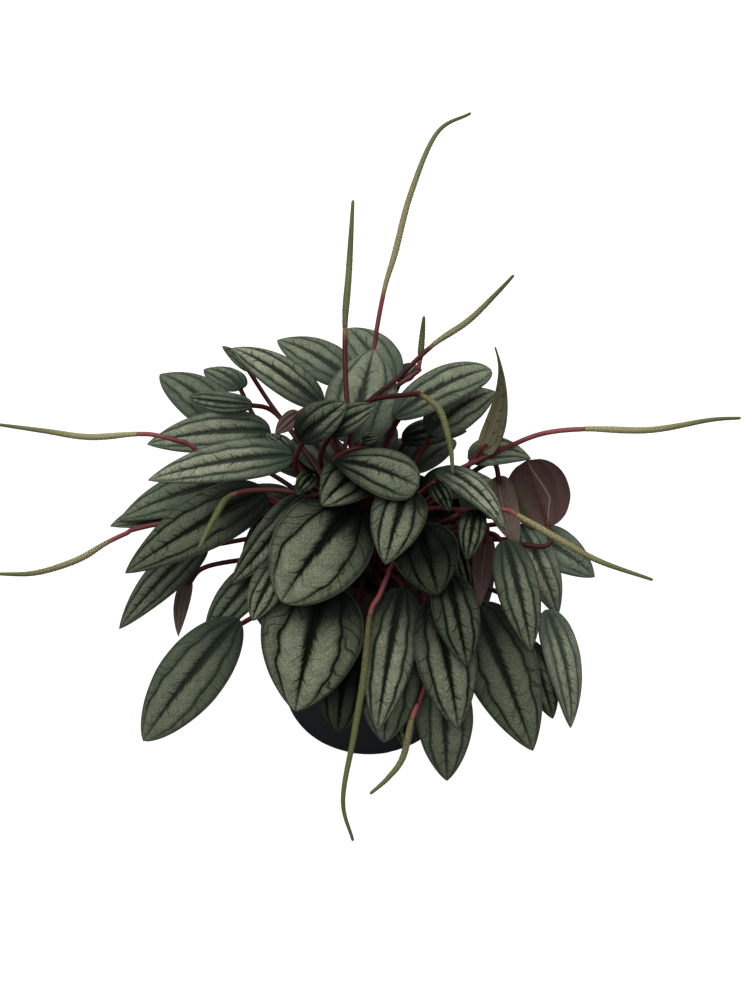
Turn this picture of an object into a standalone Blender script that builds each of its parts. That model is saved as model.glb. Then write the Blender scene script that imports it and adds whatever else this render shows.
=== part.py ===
"""A potted peperomia with quilted silver-green leaves, red leaf stalks and slender flower spikes.

Run with blender --background --python part.py. Metres, +Z up, origin at the centre of the pot's base.
The lists below give sizes in millimetres. Each leaf and spike is placed by the pixels where the
photograph shows its ends, in its frame of 750 by 1000, and by the real height of each end.
"""

import math

import bmesh
import bpy
from mathutils import Matrix, Vector
from mathutils.bvhtree import BVHTree

MM = 0.001

# Pot
POT_HEIGHT = 100.0
POT_BASE_RADIUS = 42.0
POT_BODY_RADIUS = 53.5
POT_RIM_RADIUS = 59.0
POT_COLLAR_HEIGHT = 11.0
POT_WALL = 1.4
POT_FLOOR = 2.4
POT_NOTCHES = 8
POT_NOTCH_SIZE = (12.0, 9.0, 3.4)
POT_SEGMENTS = 40
# The foot's rounded edge, from the base radius and the base
POT_FOOT = ((-2.0, 0.0), (-0.5, 0.7), (0.3, 2.2))
# The collar and lip, from the rim radius and the collar's foot
POT_COLLAR = ((-1.4, 0.0), (-0.8, 0.8), (0.0, 10.0), (-0.7, 11.0), (-2.1, 11.0), (-3.0, 2.4))
POT_SHOULDER = (-1.0, 0.6)

# Soil and crown
SEAT_GAP = 0.3
FACET_ALLOWANCE = 0.2
SOIL_TOP = 88.0
SOIL_RISE = 3.0
SOIL_SHOULDER = (0.6, 0.8)
CROWN_RADIUS = 12.0
CROWN_DEPTH = 8.0
CROWN_DOME = 12.0
# Shares of the crown's radius and of its dome's height
CROWN_OUTLINE = ((1.0, 0.0), (0.92, 0.5), (0.6, 0.9), (0.0, 1.0))
SOIL_SEGMENTS = 32
CROWN_SEGMENTS = 16

# Leaves
BLADE_THICKNESS = 1.0
QUILT_DEPTH = 1.1
BASE_ROUNDING = 0.45
TIP_TAPER = 0.85
EDGE_DROOP = 0.22
# Where a blade's cross rows lie along it, and its columns across
ROWS = (0.05, 0.2, 0.42, 0.65, 0.86)
SPARSE_ROWS = (0.07, 0.28, 0.58, 0.84)
WIDE_COLUMNS = (-1.0, -0.5, -0.25, 0.0, 0.25, 0.5, 1.0)
NARROW_COLUMNS = (-1.0, -0.3, 0.0, 0.3, 1.0)
JOINT_SHARES = (0.08, 0.2, 0.32)
LEAF_GAP = 1.6

# Stalks and spikes
STALK_RADIUS = 1.15
STALK_SIDES = 5
STALK_SEGMENTS = 4
STALK_CLEARANCE = 0.5
STALK_START = (0.85, 0.2)
STALK_HEIGHTS = (110, 180)
# What is tried, in turn, to find a stalk a clear way from the crown to its leaf
STALK_SWAYS = (0, 8, -8, 16, -16, 26, -26, 38, -38)
STALK_RISES = (0.35, 0.6, 0.15, 0.8, 1.0, 1.3)
STALK_BENDS = (0.25, 0.12, 0.45, 0.65)
UPPER_SWAY = 0.6
STRAIGHT_END = 0.2
ARRIVAL_TILTS = (40, 65, 20, 80)
UPTURNED_TILTS = (80, 65, 40, 20)
PEDUNCLE_TURNS = (0, 0.25, -0.25, 0.5, -0.5)
# Points of each stalk segment that are tried for being seen, and what each plainer way counts for
SEEN_TESTS = 3
DETOUR_COST = 0.012
PEDUNCLE_RADIUS = 1.1
SPADIX_RADIUS = 1.65
SPADIX_TIP_RADIUS = 0.5
SPADIX_SIDES = 6
SPADIX_SEGMENTS = 7
SPADIX_GAP = 0.5
SPADIX_TAPER = 1.6
LINE_STEPS = 12

# The photograph's viewpoint: where the camera stood, how far down it looked and its lens
EYE = Vector((3.0, -506.0, 681.0))
LOOK_DOWN = math.radians(47)
FOCAL_PIXELS = 60 / 36 * 1000
PHOTO_CENTRE = (375.0, 500.0)
AHEAD = Vector((0, math.cos(LOOK_DOWN), -math.sin(LOOK_DOWN)))
UPWARD = Vector((0, math.sin(LOOK_DOWN), math.cos(LOOK_DOWN)))
ACROSS = Vector((1, 0, 0))

# Finishes: linear red, green and blue, then roughness
GREEN = (0.10, 0.125, 0.085, 0.4)
RED = (0.14, 0.015, 0.025, 0.45)
OLIVE = (0.15, 0.17, 0.05, 0.4)
NAVY = (0.012, 0.016, 0.022, 0.55)
EARTH = (0.03, 0.02, 0.014, 0.95)

# Modelling
SHARP_CORNER = math.radians(50)
MERGE_DISTANCE = 0.01
FAR_SIDE = 1.5

# Leaves and spikes from the back of the view to the front.
# A leaf: name, base pixel, base height, tip pixel, tip height, width, roll, fold, arch.
# Roll turns the face about the midrib and fold lifts the two halves, both in degrees.
# A leaf named young_ or under_ is small or hidden and grows fused to its stalk.
LEAVES_AND_SPIKES = (
    ("young_45", (250, 371), 122, (222, 346), 118, 6, 0, 15, 2),
    ("young_02", (242, 388), 124, (204, 369), 116, 16, 20, 5, 3),
    ("young_56", (400, 380), 142, (416, 364), 142, 9, 0, 10, 2),
    ("leaf_41", (392, 385), 144, (348, 328), 144, 24, 0, 14, 5),
    ("leaf_43", (352, 383), 146, (277, 340), 144, 22, 10, 14, 5),
    ("leaf_01", (232, 429), 130, (160, 374), 120, 25, 10, 12, 6),
    ("leaf_04", (271, 432), 134, (147, 444), 126, 22, 0, 14, 6),
    ("leaf_03", (252, 405), 146, (188, 397), 136, 10, -30, 10, 6),
    ("leaf_44", (321, 405), 150, (232, 348), 140, 18, 0, 14, 6),
    ("spike_a",),
    ("young_49", (292, 453), 140, (266, 434), 138, 9, 20, 10, 2),
    ("young_50", (299, 412), 150, (275, 434), 146, 8, 160, 10, 2),
    ("leaf_42", (352, 444), 154, (374, 349), 160, 33, 0, 14, 5),
    ("leaf_40", (402, 440), 134, (467, 431), 128, 14, -5, 14, 5),
    ("leaf_39", (428, 433), 147, (495, 391), 143, 21, -5, 14, 5),
    ("spike_d",),
    ("leaf_38", (394, 417), 160, (491, 369), 156, 20, -5, 14, 6),
    ("spike_c",),
    ("leaf_31", (528, 534), 114, (595, 577), 98, 20, 0, 12, 5),
    ("leaf_28", (520, 524), 118, (558, 616), 82, 18, 0, 12, 6),
    ("leaf_32", (549, 527), 120, (527, 460), 148, 29, 172, 4, 3),
    ("leaf_33", (497, 476), 148, (518, 546), 128, 15, 165, 8, 4),
    ("leaf_36", (468, 457), 152, (531, 458), 146, 17, -20, 12, 5),
    ("leaf_09", (188, 578), 92, (178, 636), 72, 8, 150, 5, 3),
    ("leaf_08", (205, 540), 104, (119, 629), 82, 18, 0, 14, 6),
    ("under_06", (222, 500), 106, (110, 526), 100, 18, 0, 14, 5),
    ("leaf_06", (242, 483), 116, (119, 520), 104, 24, 10, 14, 6),
    ("spike_e",),
    ("leaf_05", (293, 456), 144, (148, 480), 134, 20, 0, 16, 6),
    ("spike_f",),
    ("leaf_07", (266, 492), 138, (125, 573), 116, 27, 0, 16, 6),
    ("leaf_11", (268, 566), 114, (204, 640), 88, 18, 0, 14, 6),
    ("leaf_10", (239, 619), 106, (143, 741), 62, 30, 0, 12, 5),
    ("under_30", (524, 640), 100, (553, 719), 62, 15, 0, 14, 5),
    ("leaf_29", (546, 610), 106, (571, 728), 60, 20, -30, 14, 5),
    ("under_17", (401, 664), 101, (406, 752), 58, 13, 0, 14, 3),
    ("leaf_24", (442, 668), 97, (447, 781), 46, 25, 0, 14, 6),
    ("leaf_26", (474, 604), 116, (533, 751), 62, 33, 0, 14, 6),
    ("leaf_57", (394, 640), 112, (384, 743), 62, 26, 0, 14, 6),
    ("leaf_16", (350, 638), 112, (338, 733), 60, 24, 0, 14, 6),
    ("leaf_17", (402, 588), 128, (377, 731), 74, 23, 0, 16, 7),
    ("young_54", (457, 541), 132, (470, 590), 112, 10, 0, 14, 4),
    ("leaf_23", (434, 598), 126, (458, 729), 74, 27, 0, 14, 7),
    ("spike_l",),
    ("leaf_22", (446, 574), 140, (467, 667), 108, 20, 0, 16, 6),
    ("leaf_12", (304, 497), 140, (231, 584), 112, 17, -20, 25, 6),
    ("leaf_15", (325, 582), 128, (295, 712), 76, 45, 0, 10, 7),
    ("leaf_13", (284, 560), 134, (252, 621), 108, 16, 0, 14, 5),
    ("spike_k",),
    ("young_58", (487, 536), 126, (480, 606), 100, 10, 168, 8, 3),
    ("leaf_27", (505, 540), 140, (531, 651), 96, 19, 0, 12, 6),
    ("spike_i",),
    ("leaf_35", (476, 509), 148, (467, 561), 134, 12, 0, 14, 4),
    ("leaf_34", (438, 469), 158, (505, 529), 144, 16, -25, 14, 6),
    ("spike_h",),
    ("leaf_37", (484, 453), 150, (496, 347), 196, 15, 128, 12, 6),
    ("leaf_21", (416, 526), 148, (438, 596), 126, 29, 0, 12, 6),
    ("leaf_14", (357, 504), 152, (281, 602), 126, 43, 0, 10, 6),
    ("leaf_20", (408, 488), 156, (385, 565), 136, 24, 0, 12, 6),
    ("young_52", (434, 482), 156, (450, 512), 148, 9, 0, 14, 3),
    ("spike_g",),
    ("leaf_18", (368, 466), 164, (321, 506), 154, 24, 0, 26, 4),
    ("young_48", (314, 475), 156, (296, 495), 152, 9, 0, 30, 2),
    ("spike_b",),
    ("leaf_19", (333, 461), 170, (419, 487), 168, 22, 0, 8, 6),
    ("young_55", (362, 441), 172, (379, 437), 173, 6, 0, 20, 1),
    ("leaf_47", (327, 434), 172, (377, 405), 176, 13, 0, 30, 2),
    ("leaf_46", (299, 441), 174, (347, 402), 180, 17, 0, 30, 2),
    ("spike_j",),
)

# Leaves that are not widest near the base: their base rounding and tip taper.
OWN_OUTLINES = {
    "leaf_19": (0.9, 0.45), "leaf_32": (0.5, 0.5), "leaf_37": (0.3, 1.5), "leaf_10": (0.6, 0.75),
    "leaf_38": (0.5, 0.55), "leaf_14": (0.5, 0.65),
}

# Leaves behind the view, hidden by those in front, that fill the mound on its far side.
# A leaf: name, compass angle from +X, base radius, base height, tip radius, tip height, width.
BACK_LEAVES = (
    ("back_01", 22, 46, 116, 98, 84, 24),
    ("back_02", 47, 42, 110, 96, 74, 26),
    ("back_03", 72, 44, 114, 99, 78, 25),
    ("back_04", 97, 42, 108, 97, 70, 26),
    ("back_05", 121, 44, 114, 98, 80, 25),
    ("back_06", 146, 42, 108, 96, 74, 24),
    ("back_07", 60, 34, 126, 82, 106, 23),
    ("back_08", 88, 34, 126, 86, 106, 24),
    ("back_09", 116, 34, 124, 82, 104, 23),
)
BACK_ROLL = 0.0
BACK_FOLD = 14.0
BACK_ARCH = 6.0
BACK_LEAN = 0.3

# Spikes: pixels and heights of the red stalk, then of the beaded spadix, from the crown outward.
SPIKES = {
    "spike_a": (
        ((373, 350, 158), (384, 291, 182)),
        ((395, 253, 196), (411, 193, 216), (437, 133, 234), (471, 113, 236)),
    ),
    "spike_b": (
        ((355, 456, 162), (347, 402, 176), (345, 328, 196)),
        ((349, 270, 210), (353, 200, 232)),
    ),
    "spike_c": (
        ((397, 379, 166), (433, 345, 176)),
        ((468, 321, 184), (495, 295, 194), (514, 275, 204)),
    ),
    "spike_d": (
        ((417, 372, 160), (420, 360, 164)),
        ((422, 338, 172), (424, 316, 182)),
    ),
    "spike_e": (
        ((190, 445, 144), (160, 436, 146), (137, 434, 146)),
        ((89, 437, 144), (45, 431, 143), (-6, 424, 142)),
    ),
    "spike_f": (
        ((136, 529, 110), (108, 542, 112)),
        ((77, 560, 110), (35, 573, 106), (-6, 574, 102)),
    ),
    "spike_g": (
        ((312, 496, 156), (272, 490, 158), (232, 495, 152)),
        ((215, 517, 148), (199, 548, 144)),
    ),
    "spike_h": (
        ((503, 449, 154), (541, 434, 160), (585, 429, 162)),
        ((650, 430, 160), (710, 420, 160), (741, 418, 160)),
    ),
    "spike_i": (
        ((440, 508, 147), (472, 511, 151), (504, 510, 154), (517, 515, 153)),
        ((560, 540, 150), (599, 561, 146), (653, 580, 142)),
    ),
    "spike_j": (
        ((415, 394, 184), (423, 396, 187)),
        ((440, 411, 185), (450, 445, 175), (453, 474, 166)),
    ),
    "spike_k": (
        ((392, 565, 140), (379, 596, 136), (370, 615, 131)),
        ((364, 675, 114), (354, 735, 94), (343, 800, 74), (353, 841, 60)),
    ),
    "spike_l": (
        ((420, 700, 90), (412, 719, 88)),
        ((403, 757, 76), (388, 778, 70), (370, 794, 66)),
    ),
}


def sight(pixel, height):
    """The point at a height on the line of sight through one pixel of the photograph."""
    right = (pixel[0] - PHOTO_CENTRE[0]) / FOCAL_PIXELS
    down = (pixel[1] - PHOTO_CENTRE[1]) / FOCAL_PIXELS
    direction = AHEAD + ACROSS * right - UPWARD * down
    return EYE + direction * ((height - EYE.z) / direction.z)


def toward_eye(point, share):
    """A point moved along its line of sight, where a share under 1 brings it nearer to the eye."""
    return EYE + (point - EYE) * share


class Blade:
    """The curved, quilted face of one leaf."""

    def __init__(self, base, tip, width, roll, fold, arch, facing, outline):
        self.rounding, self.taper = outline
        self.base = base
        self.tip = tip
        self.half_width = width / 2
        self.fold = math.tan(math.radians(fold))
        self.arch = arch
        self.tilts = UPTURNED_TILTS if roll > 90 else ARRIVAL_TILTS
        chord = (tip - base).normalized()
        normal = (facing - chord * facing.dot(chord)).normalized()
        self.normal = Matrix.Rotation(math.radians(roll), 3, chord) @ normal
        self.side = chord.cross(self.normal)

    def brought_forward(self, share):
        """Moves the leaf along the lines of sight, which leaves its outline in the view as it is."""
        self.base = toward_eye(self.base, share)
        self.tip = toward_eye(self.tip, share)
        self.half_width *= share

    def reach(self, along):
        """Half the leaf's width at a share of its length."""
        widest = self.rounding / (self.rounding + self.taper)
        swell = (along / widest) ** self.rounding
        taper = ((1 - along) / (1 - widest)) ** self.taper
        return self.half_width * swell * taper

    def point(self, along, across):
        """A point of the upper face: along from base to tip, across from -1 to 1."""
        reach = self.reach(along) if 0 < along < 1 else 0.0
        quilt = QUILT_DEPTH * math.sin(2 * math.pi * across) ** 2 * reach / self.half_width
        lift = reach * (self.fold * abs(across) - EDGE_DROOP * across * across) + quilt
        rise = 4 * self.arch * along * (1 - along)
        spine = self.base.lerp(self.tip, along)
        return spine + self.side * (across * reach) + self.normal * (rise + lift)

    def arrivals(self, radius, gap):
        """The stalk's end under the blade and its direction there, for each joint and tilt."""
        for share in JOINT_SHARES:
            slope = 4 * self.arch * (1 - 2 * share)
            tangent = (self.tip - self.base + self.normal * slope).normalized()
            outward = (self.normal - tangent * self.normal.dot(tangent)).normalized()
            under = self.point(share, 0) - self.normal * BLADE_THICKNESS
            for degrees in self.tilts:
                tilt = math.radians(degrees)
                direction = outward * math.cos(tilt) + tangent * math.sin(tilt)
                yield under - outward * (gap + radius * math.sin(tilt)), direction


def link(name, mesh, finish):
    """Adds an object, shaded smooth between its corners, with its own plain material."""
    mesh.shade_smooth()
    mesh.set_sharp_from_angle(angle=SHARP_CORNER)
    piece = bpy.data.objects.new(name, mesh)
    bpy.context.scene.collection.objects.link(piece)
    material = bpy.data.materials.new(name)
    material.use_nodes = True
    shader = material.node_tree.nodes["Principled BSDF"]
    *colour, roughness = finish
    shader.inputs["Base Color"].default_value = (*colour, 1)
    shader.inputs["Roughness"].default_value = roughness
    shader.inputs["Metallic"].default_value = 0
    mesh.materials.append(material)
    return piece


def finished_mesh(name, bm):
    """A mesh in metres from a bmesh in millimetres, with its faces pointing out."""
    bmesh.ops.recalc_face_normals(bm, faces=bm.faces)
    bmesh.ops.scale(bm, vec=(MM, MM, MM), verts=bm.verts)
    mesh = bpy.data.meshes.new(name)
    bm.to_mesh(mesh)
    bm.free()
    return mesh


def blade_bmesh(name, blade):
    """A closed blade: one grid for the face, closed to a point at each end, then given its thickness.

    Large leaves have their side veins as valleys, and small or hidden ones only the midrib.
    """
    bm = bmesh.new()
    large = name.startswith("leaf")
    columns = WIDE_COLUMNS if large else NARROW_COLUMNS
    rows = [0.0, *(ROWS if large else SPARSE_ROWS), 1.0]
    bmesh.ops.create_grid(bm, x_segments=len(columns) - 1, y_segments=len(rows) - 1, size=1)
    bm.verts.ensure_lookup_table()
    for row, along in enumerate(rows):
        for column, across in enumerate(columns):
            bm.verts[row * len(columns) + column].co = blade.point(along, across)
    bmesh.ops.remove_doubles(bm, verts=bm.verts, dist=MERGE_DISTANCE)
    bmesh.ops.triangulate(bm, faces=bm.faces)
    under = bmesh.ops.extrude_face_region(bm, geom=bm.faces[:])["geom"]
    moved = [v for v in under if isinstance(v, bmesh.types.BMVert)]
    bmesh.ops.translate(bm, vec=blade.normal * -BLADE_THICKNESS, verts=moved)
    return bm


def smooth_path(points, count):
    """Points evenly spaced in parameter on a Catmull-Rom curve through the given points."""
    ends = [points[0] * 2 - points[1], *points, points[-1] * 2 - points[-2]]
    path = []
    for step in range(count + 1):
        place = step / count * (len(points) - 1)
        k = min(int(place), len(points) - 2)
        t = place - k
        a, b, c, d = ends[k:k + 4]
        bend = (2 * a - 5 * b + 4 * c - d) * t * t + (3 * b - a - 3 * c + d) * t ** 3
        path.append(b + ((c - a) * t + bend) / 2)
    return path


def tube_bmesh(path, radii, sides):
    """A closed tube along a path, one ring of vertices at each point."""
    bm = bmesh.new()
    rings = []
    turned = (path[1] - path[0]).normalized().orthogonal()
    for k, centre in enumerate(path):
        ahead = (path[min(k + 1, len(path) - 1)] - path[max(k - 1, 0)]).normalized()
        turned = (turned - ahead * turned.dot(ahead)).normalized()
        other = ahead.cross(turned)
        ring = []
        for side in range(sides):
            angle = 2 * math.pi * side / sides
            offset = turned * math.cos(angle) + other * math.sin(angle)
            ring.append(bm.verts.new(centre + offset * radii[k]))
        rings.append(ring)
    for lower, upper in zip(rings, rings[1:]):
        for side in range(sides):
            after = (side + 1) % sides
            bm.faces.new((lower[side], lower[after], upper[after], upper[side]))
    bm.faces.new(rings[0])
    bm.faces.new(rings[-1])
    return bm


def turned_mesh(name, profile, segments):
    """A solid of revolution from the radii and heights of its half outline, axis to axis."""
    bm = bmesh.new()
    corners = [bm.verts.new((radius, 0, height)) for radius, height in profile]
    edges = [bm.edges.new(pair) for pair in zip(corners, corners[1:])]
    bmesh.ops.spin(
        bm, geom=corners + edges, cent=(0, 0, 0), axis=(0, 0, 1),
        angle=2 * math.pi, steps=segments, use_merge=True,
    )
    bmesh.ops.remove_doubles(bm, verts=bm.verts, dist=MERGE_DISTANCE)
    bmesh.ops.dissolve_degenerate(bm, edges=bm.edges, dist=MERGE_DISTANCE)
    return finished_mesh(name, bm)


def join_solids(target, solids, operation, solver):
    """Applies one Boolean of a collection of solids to a target, and removes the solids."""
    tools = bpy.data.collections.new("tools")
    bpy.context.scene.collection.children.link(tools)
    for solid in solids:
        bpy.context.scene.collection.objects.unlink(solid)
        tools.objects.link(solid)
    boolean = target.modifiers.new("join", "BOOLEAN")
    boolean.operation = operation
    boolean.solver = solver
    boolean.operand_type = "COLLECTION"
    boolean.collection = tools
    depsgraph = bpy.context.evaluated_depsgraph_get()
    joined = bpy.data.meshes.new_from_object(target.evaluated_get(depsgraph))
    target.modifiers.clear()
    target.data = joined
    joined.shade_smooth()
    joined.set_sharp_from_angle(angle=SHARP_CORNER)
    for solid in solids:
        bpy.data.objects.remove(solid)
    bpy.data.collections.remove(tools)


def make_pot():
    """The dark nursery pot, with a thick collar and drain notches round its base."""
    wall_top = POT_HEIGHT - POT_COLLAR_HEIGHT
    inner_base = POT_BASE_RADIUS - POT_WALL
    inner_top = POT_BODY_RADIUS - POT_WALL
    below, above = POT_SHOULDER
    profile = (
        (0, 0),
        *((POT_BASE_RADIUS + out, up) for out, up in POT_FOOT),
        (POT_BODY_RADIUS, wall_top + below),
        *((POT_RIM_RADIUS + out, wall_top + up) for out, up in POT_COLLAR),
        (inner_top, wall_top + above),
        (inner_base, POT_FLOOR),
        (0, POT_FLOOR),
    )
    pot = link("pot", turned_mesh("pot", profile, POT_SEGMENTS), NAVY)
    notches = []
    for k in range(POT_NOTCHES):
        bm = bmesh.new()
        bmesh.ops.create_cube(bm, size=1)
        bmesh.ops.scale(bm, vec=POT_NOTCH_SIZE, verts=bm.verts)
        bmesh.ops.translate(bm, vec=(0, POT_BASE_RADIUS, 0), verts=bm.verts)
        turn = Matrix.Rotation(2 * math.pi * (k + 0.5) / POT_NOTCHES, 3, "Z")
        bmesh.ops.rotate(bm, matrix=turn, verts=bm.verts)
        notches.append(link("notch", finished_mesh("notch", bm), NAVY))
    join_solids(pot, notches, "DIFFERENCE", "EXACT")


def make_soil():
    """The plug of soil that fills the pot, with a plain hole for the crown."""
    wall_top = POT_HEIGHT - POT_COLLAR_HEIGHT
    slope = (POT_BODY_RADIUS - POT_BASE_RADIUS) / wall_top
    low = POT_FLOOR + SEAT_GAP
    low_radius = POT_BASE_RADIUS - POT_WALL - SEAT_GAP - FACET_ALLOWANCE
    top_radius = low_radius + slope * (SOIL_TOP - low)
    shoulder_out, shoulder_up = SOIL_SHOULDER
    hole = CROWN_RADIUS + SEAT_GAP
    crest = SOIL_TOP + SOIL_RISE
    profile = (
        (0, low),
        (low_radius, low),
        (top_radius, SOIL_TOP),
        (top_radius * shoulder_out, SOIL_TOP + SOIL_RISE * shoulder_up),
        (hole, crest),
        (hole, crest - CROWN_DEPTH),
        (0, crest - CROWN_DEPTH),
    )
    link("soil", turned_mesh("soil", profile, SOIL_SEGMENTS), EARTH)


def make_crown():
    """The short thick stem that every stalk grows from, standing in its hole in the soil."""
    crest = SOIL_TOP + SOIL_RISE
    foot = crest - CROWN_DEPTH + SEAT_GAP
    profile = (
        (0, foot),
        (CROWN_RADIUS, foot),
        *((CROWN_RADIUS * out, crest + CROWN_DOME * up) for out, up in CROWN_OUTLINE),
    )
    return link("crown", turned_mesh("crown", profile, CROWN_SEGMENTS), RED)


def surface(bm):
    """A search tree of a bmesh's triangles."""
    return BVHTree.FromBMesh(bm)


def outline_points(bm):
    """A bmesh's vertices and the middles of its edges."""
    middles = [(e.verts[0].co + e.verts[1].co) / 2 for e in bm.edges]
    return [v.co.copy() for v in bm.verts] + middles


def forward_share(bm, placed_tree, placed_points):
    """How far toward the eye a solid comes to lie clear in front of what is placed already."""
    own_tree = surface(bm)
    share = 1.0
    for point in outline_points(bm):
        ray = point - EYE
        hit = placed_tree.ray_cast(EYE, ray.normalized())
        if hit[3] is not None:
            share = min(share, (hit[3] - LEAF_GAP) / ray.length)
    for point in placed_points:
        ray = point - EYE
        beyond = EYE + ray * FAR_SIDE
        hit = own_tree.ray_cast(beyond, -ray.normalized())
        if hit[3] is not None:
            back_of_own = ray.length * FAR_SIDE - hit[3]
            share = min(share, (ray.length - LEAF_GAP) / back_of_own)
    return share


class Spike:
    """A flower spike: a red stalk and a slender spadix."""

    def __init__(self, stalk_pixels, spadix_pixels):
        self.stalk = [sight(row[:2], row[2]) for row in stalk_pixels]
        self.spadix = [sight(row[:2], row[2]) for row in spadix_pixels]

    def brought_forward(self, share):
        """Moves the spike along the lines of sight."""
        self.stalk = [toward_eye(point, share) for point in self.stalk]
        self.spadix = [toward_eye(point, share) for point in self.spadix]

    def line(self):
        """The whole visible line of the spike, densely sampled."""
        points = self.stalk + self.spadix
        return smooth_path(points, LINE_STEPS * (len(points) - 1))

    def split(self):
        """The dense line of the stalk and that of the spadix, a small gap apart."""
        line = self.line()
        end = LINE_STEPS * (len(self.stalk) - 1)
        stalk, spadix = line[:end + 1], line[end:]
        start = (spadix[1] - spadix[0]).normalized() * SPADIX_GAP
        spadix[0] = spadix[0] + start
        return stalk, spadix

    def spadix_bmesh(self):
        """The tapering spadix."""
        line = self.split()[1]
        last = len(line) - 1
        path = [line[round(k * last / SPADIX_SEGMENTS)] for k in range(SPADIX_SEGMENTS + 1)]
        taper = [1 - (k / SPADIX_SEGMENTS) ** SPADIX_TAPER for k in range(SPADIX_SEGMENTS + 1)]
        radii = [SPADIX_TIP_RADIUS + (SPADIX_RADIUS - SPADIX_TIP_RADIUS) * t for t in taper]
        path.insert(1, line[1])
        radii.insert(1, radii[0])
        return tube_bmesh(path, radii, SPADIX_SIDES)

    def whole_bmesh(self):
        """The visible stalk and spadix as one coarse tube, used to place them."""
        line = self.line()[::LINE_STEPS // 3]
        return tube_bmesh(line, [SPADIX_RADIUS] * len(line), SPADIX_SIDES)


def placed_plant():
    """Every leaf and spike at its place, from the back to the front, each clear of those before."""
    plant = {}
    for name, angle, base_radius, base_height, tip_radius, tip_height, width in BACK_LEAVES:
        out = Vector((math.cos(math.radians(angle)), math.sin(math.radians(angle)), 0))
        base = out * base_radius + Vector((0, 0, base_height))
        tip = out * tip_radius + Vector((0, 0, tip_height))
        facing = out * BACK_LEAN + Vector((0, 0, 1))
        outline = (BASE_ROUNDING, TIP_TAPER)
        plant[name] = Blade(base, tip, width, BACK_ROLL, BACK_FOLD, BACK_ARCH, facing, outline)
    placed = bmesh.new()
    for name, blade in plant.items():
        add_to(placed, blade_bmesh(name, blade))
    for row in LEAVES_AND_SPIKES:
        name = row[0]
        if name in SPIKES:
            piece = Spike(*SPIKES[name])
            solid = piece.whole_bmesh()
        else:
            piece = leaf_of(row)
            solid = blade_bmesh(name, piece)
        placed_points = outline_points(placed)
        share = forward_share(solid, surface(placed), placed_points)
        piece.brought_forward(share)
        solid.free()
        if name in SPIKES:
            solid = piece.whole_bmesh()
        else:
            solid = blade_bmesh(name, piece)
        add_to(placed, solid)
        plant[name] = piece
    placed.free()
    return plant


def leaf_of(row):
    """The blade that one row of the list describes, facing between straight up and the viewer."""
    base = sight(row[1], row[2])
    tip = sight(row[3], row[4])
    facing = (EYE - base).normalized() + Vector((0, 0, 1))
    outline = OWN_OUTLINES.get(row[0], (BASE_ROUNDING, TIP_TAPER))
    return Blade(base, tip, row[5], row[6], row[7], row[8], facing, outline)


def add_to(target, solid):
    """Adds a bmesh's shape to another, and frees it."""
    mesh = bpy.data.meshes.new("added")
    solid.to_mesh(mesh)
    target.from_mesh(mesh)
    bpy.data.meshes.remove(mesh)
    solid.free()


def stalk_start(end):
    """Where a stalk leaves the crown: the higher it reaches, the nearer to the middle."""
    out = Vector((end.x, end.y, 0))
    out = out.normalized() if out.length > 1 else Vector((0, 1, 0))
    low, high = STALK_HEIGHTS
    outer, inner = STALK_START
    height_share = min(1, max(0, (end.z - low) / (high - low)))
    radius = CROWN_RADIUS * (outer + (inner - outer) * height_share)
    return out * radius + Vector((0, 0, SOIL_TOP + SOIL_RISE)), out


def routes(end, approach):
    """Curves from the crown to a point, the plainest first, that rise and then bend to it."""
    start, out = stalk_start(end)
    sideways = Vector((-out.y, out.x, 0))
    span = (end - start).length
    for sway in STALK_SWAYS:
        for rise in STALK_RISES:
            for bend in STALK_BENDS:
                first = start + Vector((0, 0, span * rise)) + sideways * sway
                last = end - approach * span * bend + sideways * sway * UPPER_SWAY
                path = []
                for k in range(STALK_SEGMENTS + 1):
                    t = k / STALK_SEGMENTS
                    u = 1 - t
                    path.append(
                        start * u ** 3 + first * 3 * u * u * t + last * 3 * u * t * t + end * t ** 3
                    )
                path[-2] = path[-2].lerp(end - approach * span * STRAIGHT_END, 0.5)
                yield path


def seen_points(path, canopy):
    """How many points along a stalk the viewer sees past the leaves."""
    seen = 0
    for a, b in zip(path, path[1:]):
        for step in range(SEEN_TESTS):
            ray = a.lerp(b, (step + 0.5) / SEEN_TESTS) - EYE
            if canopy.ray_cast(EYE, ray.normalized(), ray.length)[3] is None:
                seen += 1
    return seen


def ranked_routes(arrivals, canopy):
    """The ways to every arrival, first those that are plain and little seen by the viewer."""
    ranked = []
    for end, approach in arrivals:
        for order, path in enumerate(routes(end, approach)):
            ranked.append((seen_points(path, canopy) + order * DETOUR_COST, path))
    ranked.sort(key=lambda one: one[0])
    return [path for _, path in ranked]


def clear_route(paths, radius, own_tree, others):
    """The first way whose stalk is clear of every other solid, or else the least obstructed one."""
    best = None
    for path in paths:
        wide = tube_bmesh(path, [radius + STALK_CLEARANCE] * len(path), STALK_SIDES)
        touched = len(surface(wide).overlap(others))
        wide.free()
        if own_tree:
            true = tube_bmesh(path, [radius] * len(path), STALK_SIDES)
            touched += len(surface(true).overlap(own_tree))
            true.free()
        if best is None or touched < best[0]:
            best = (touched, path)
        if touched == 0:
            return path
    return best[1]


def peduncle_arrivals(visible):
    """The start of a spike's visible stalk and the directions that its hidden part can come from."""
    ahead = (visible[1] - visible[0]).normalized()
    sideways = ahead.cross(Vector((0, 0, 1))).normalized()
    for across in PEDUNCLE_TURNS:
        for up in PEDUNCLE_TURNS:
            turned = ahead + sideways * across + Vector((0, 0, up))
            yield visible[0], turned.normalized()


def shape_of(bm):
    """A bmesh's vertices and the corners of its faces."""
    bm.verts.index_update()
    return [v.co.copy() for v in bm.verts], [[v.index for v in face.verts] for face in bm.faces]


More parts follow.
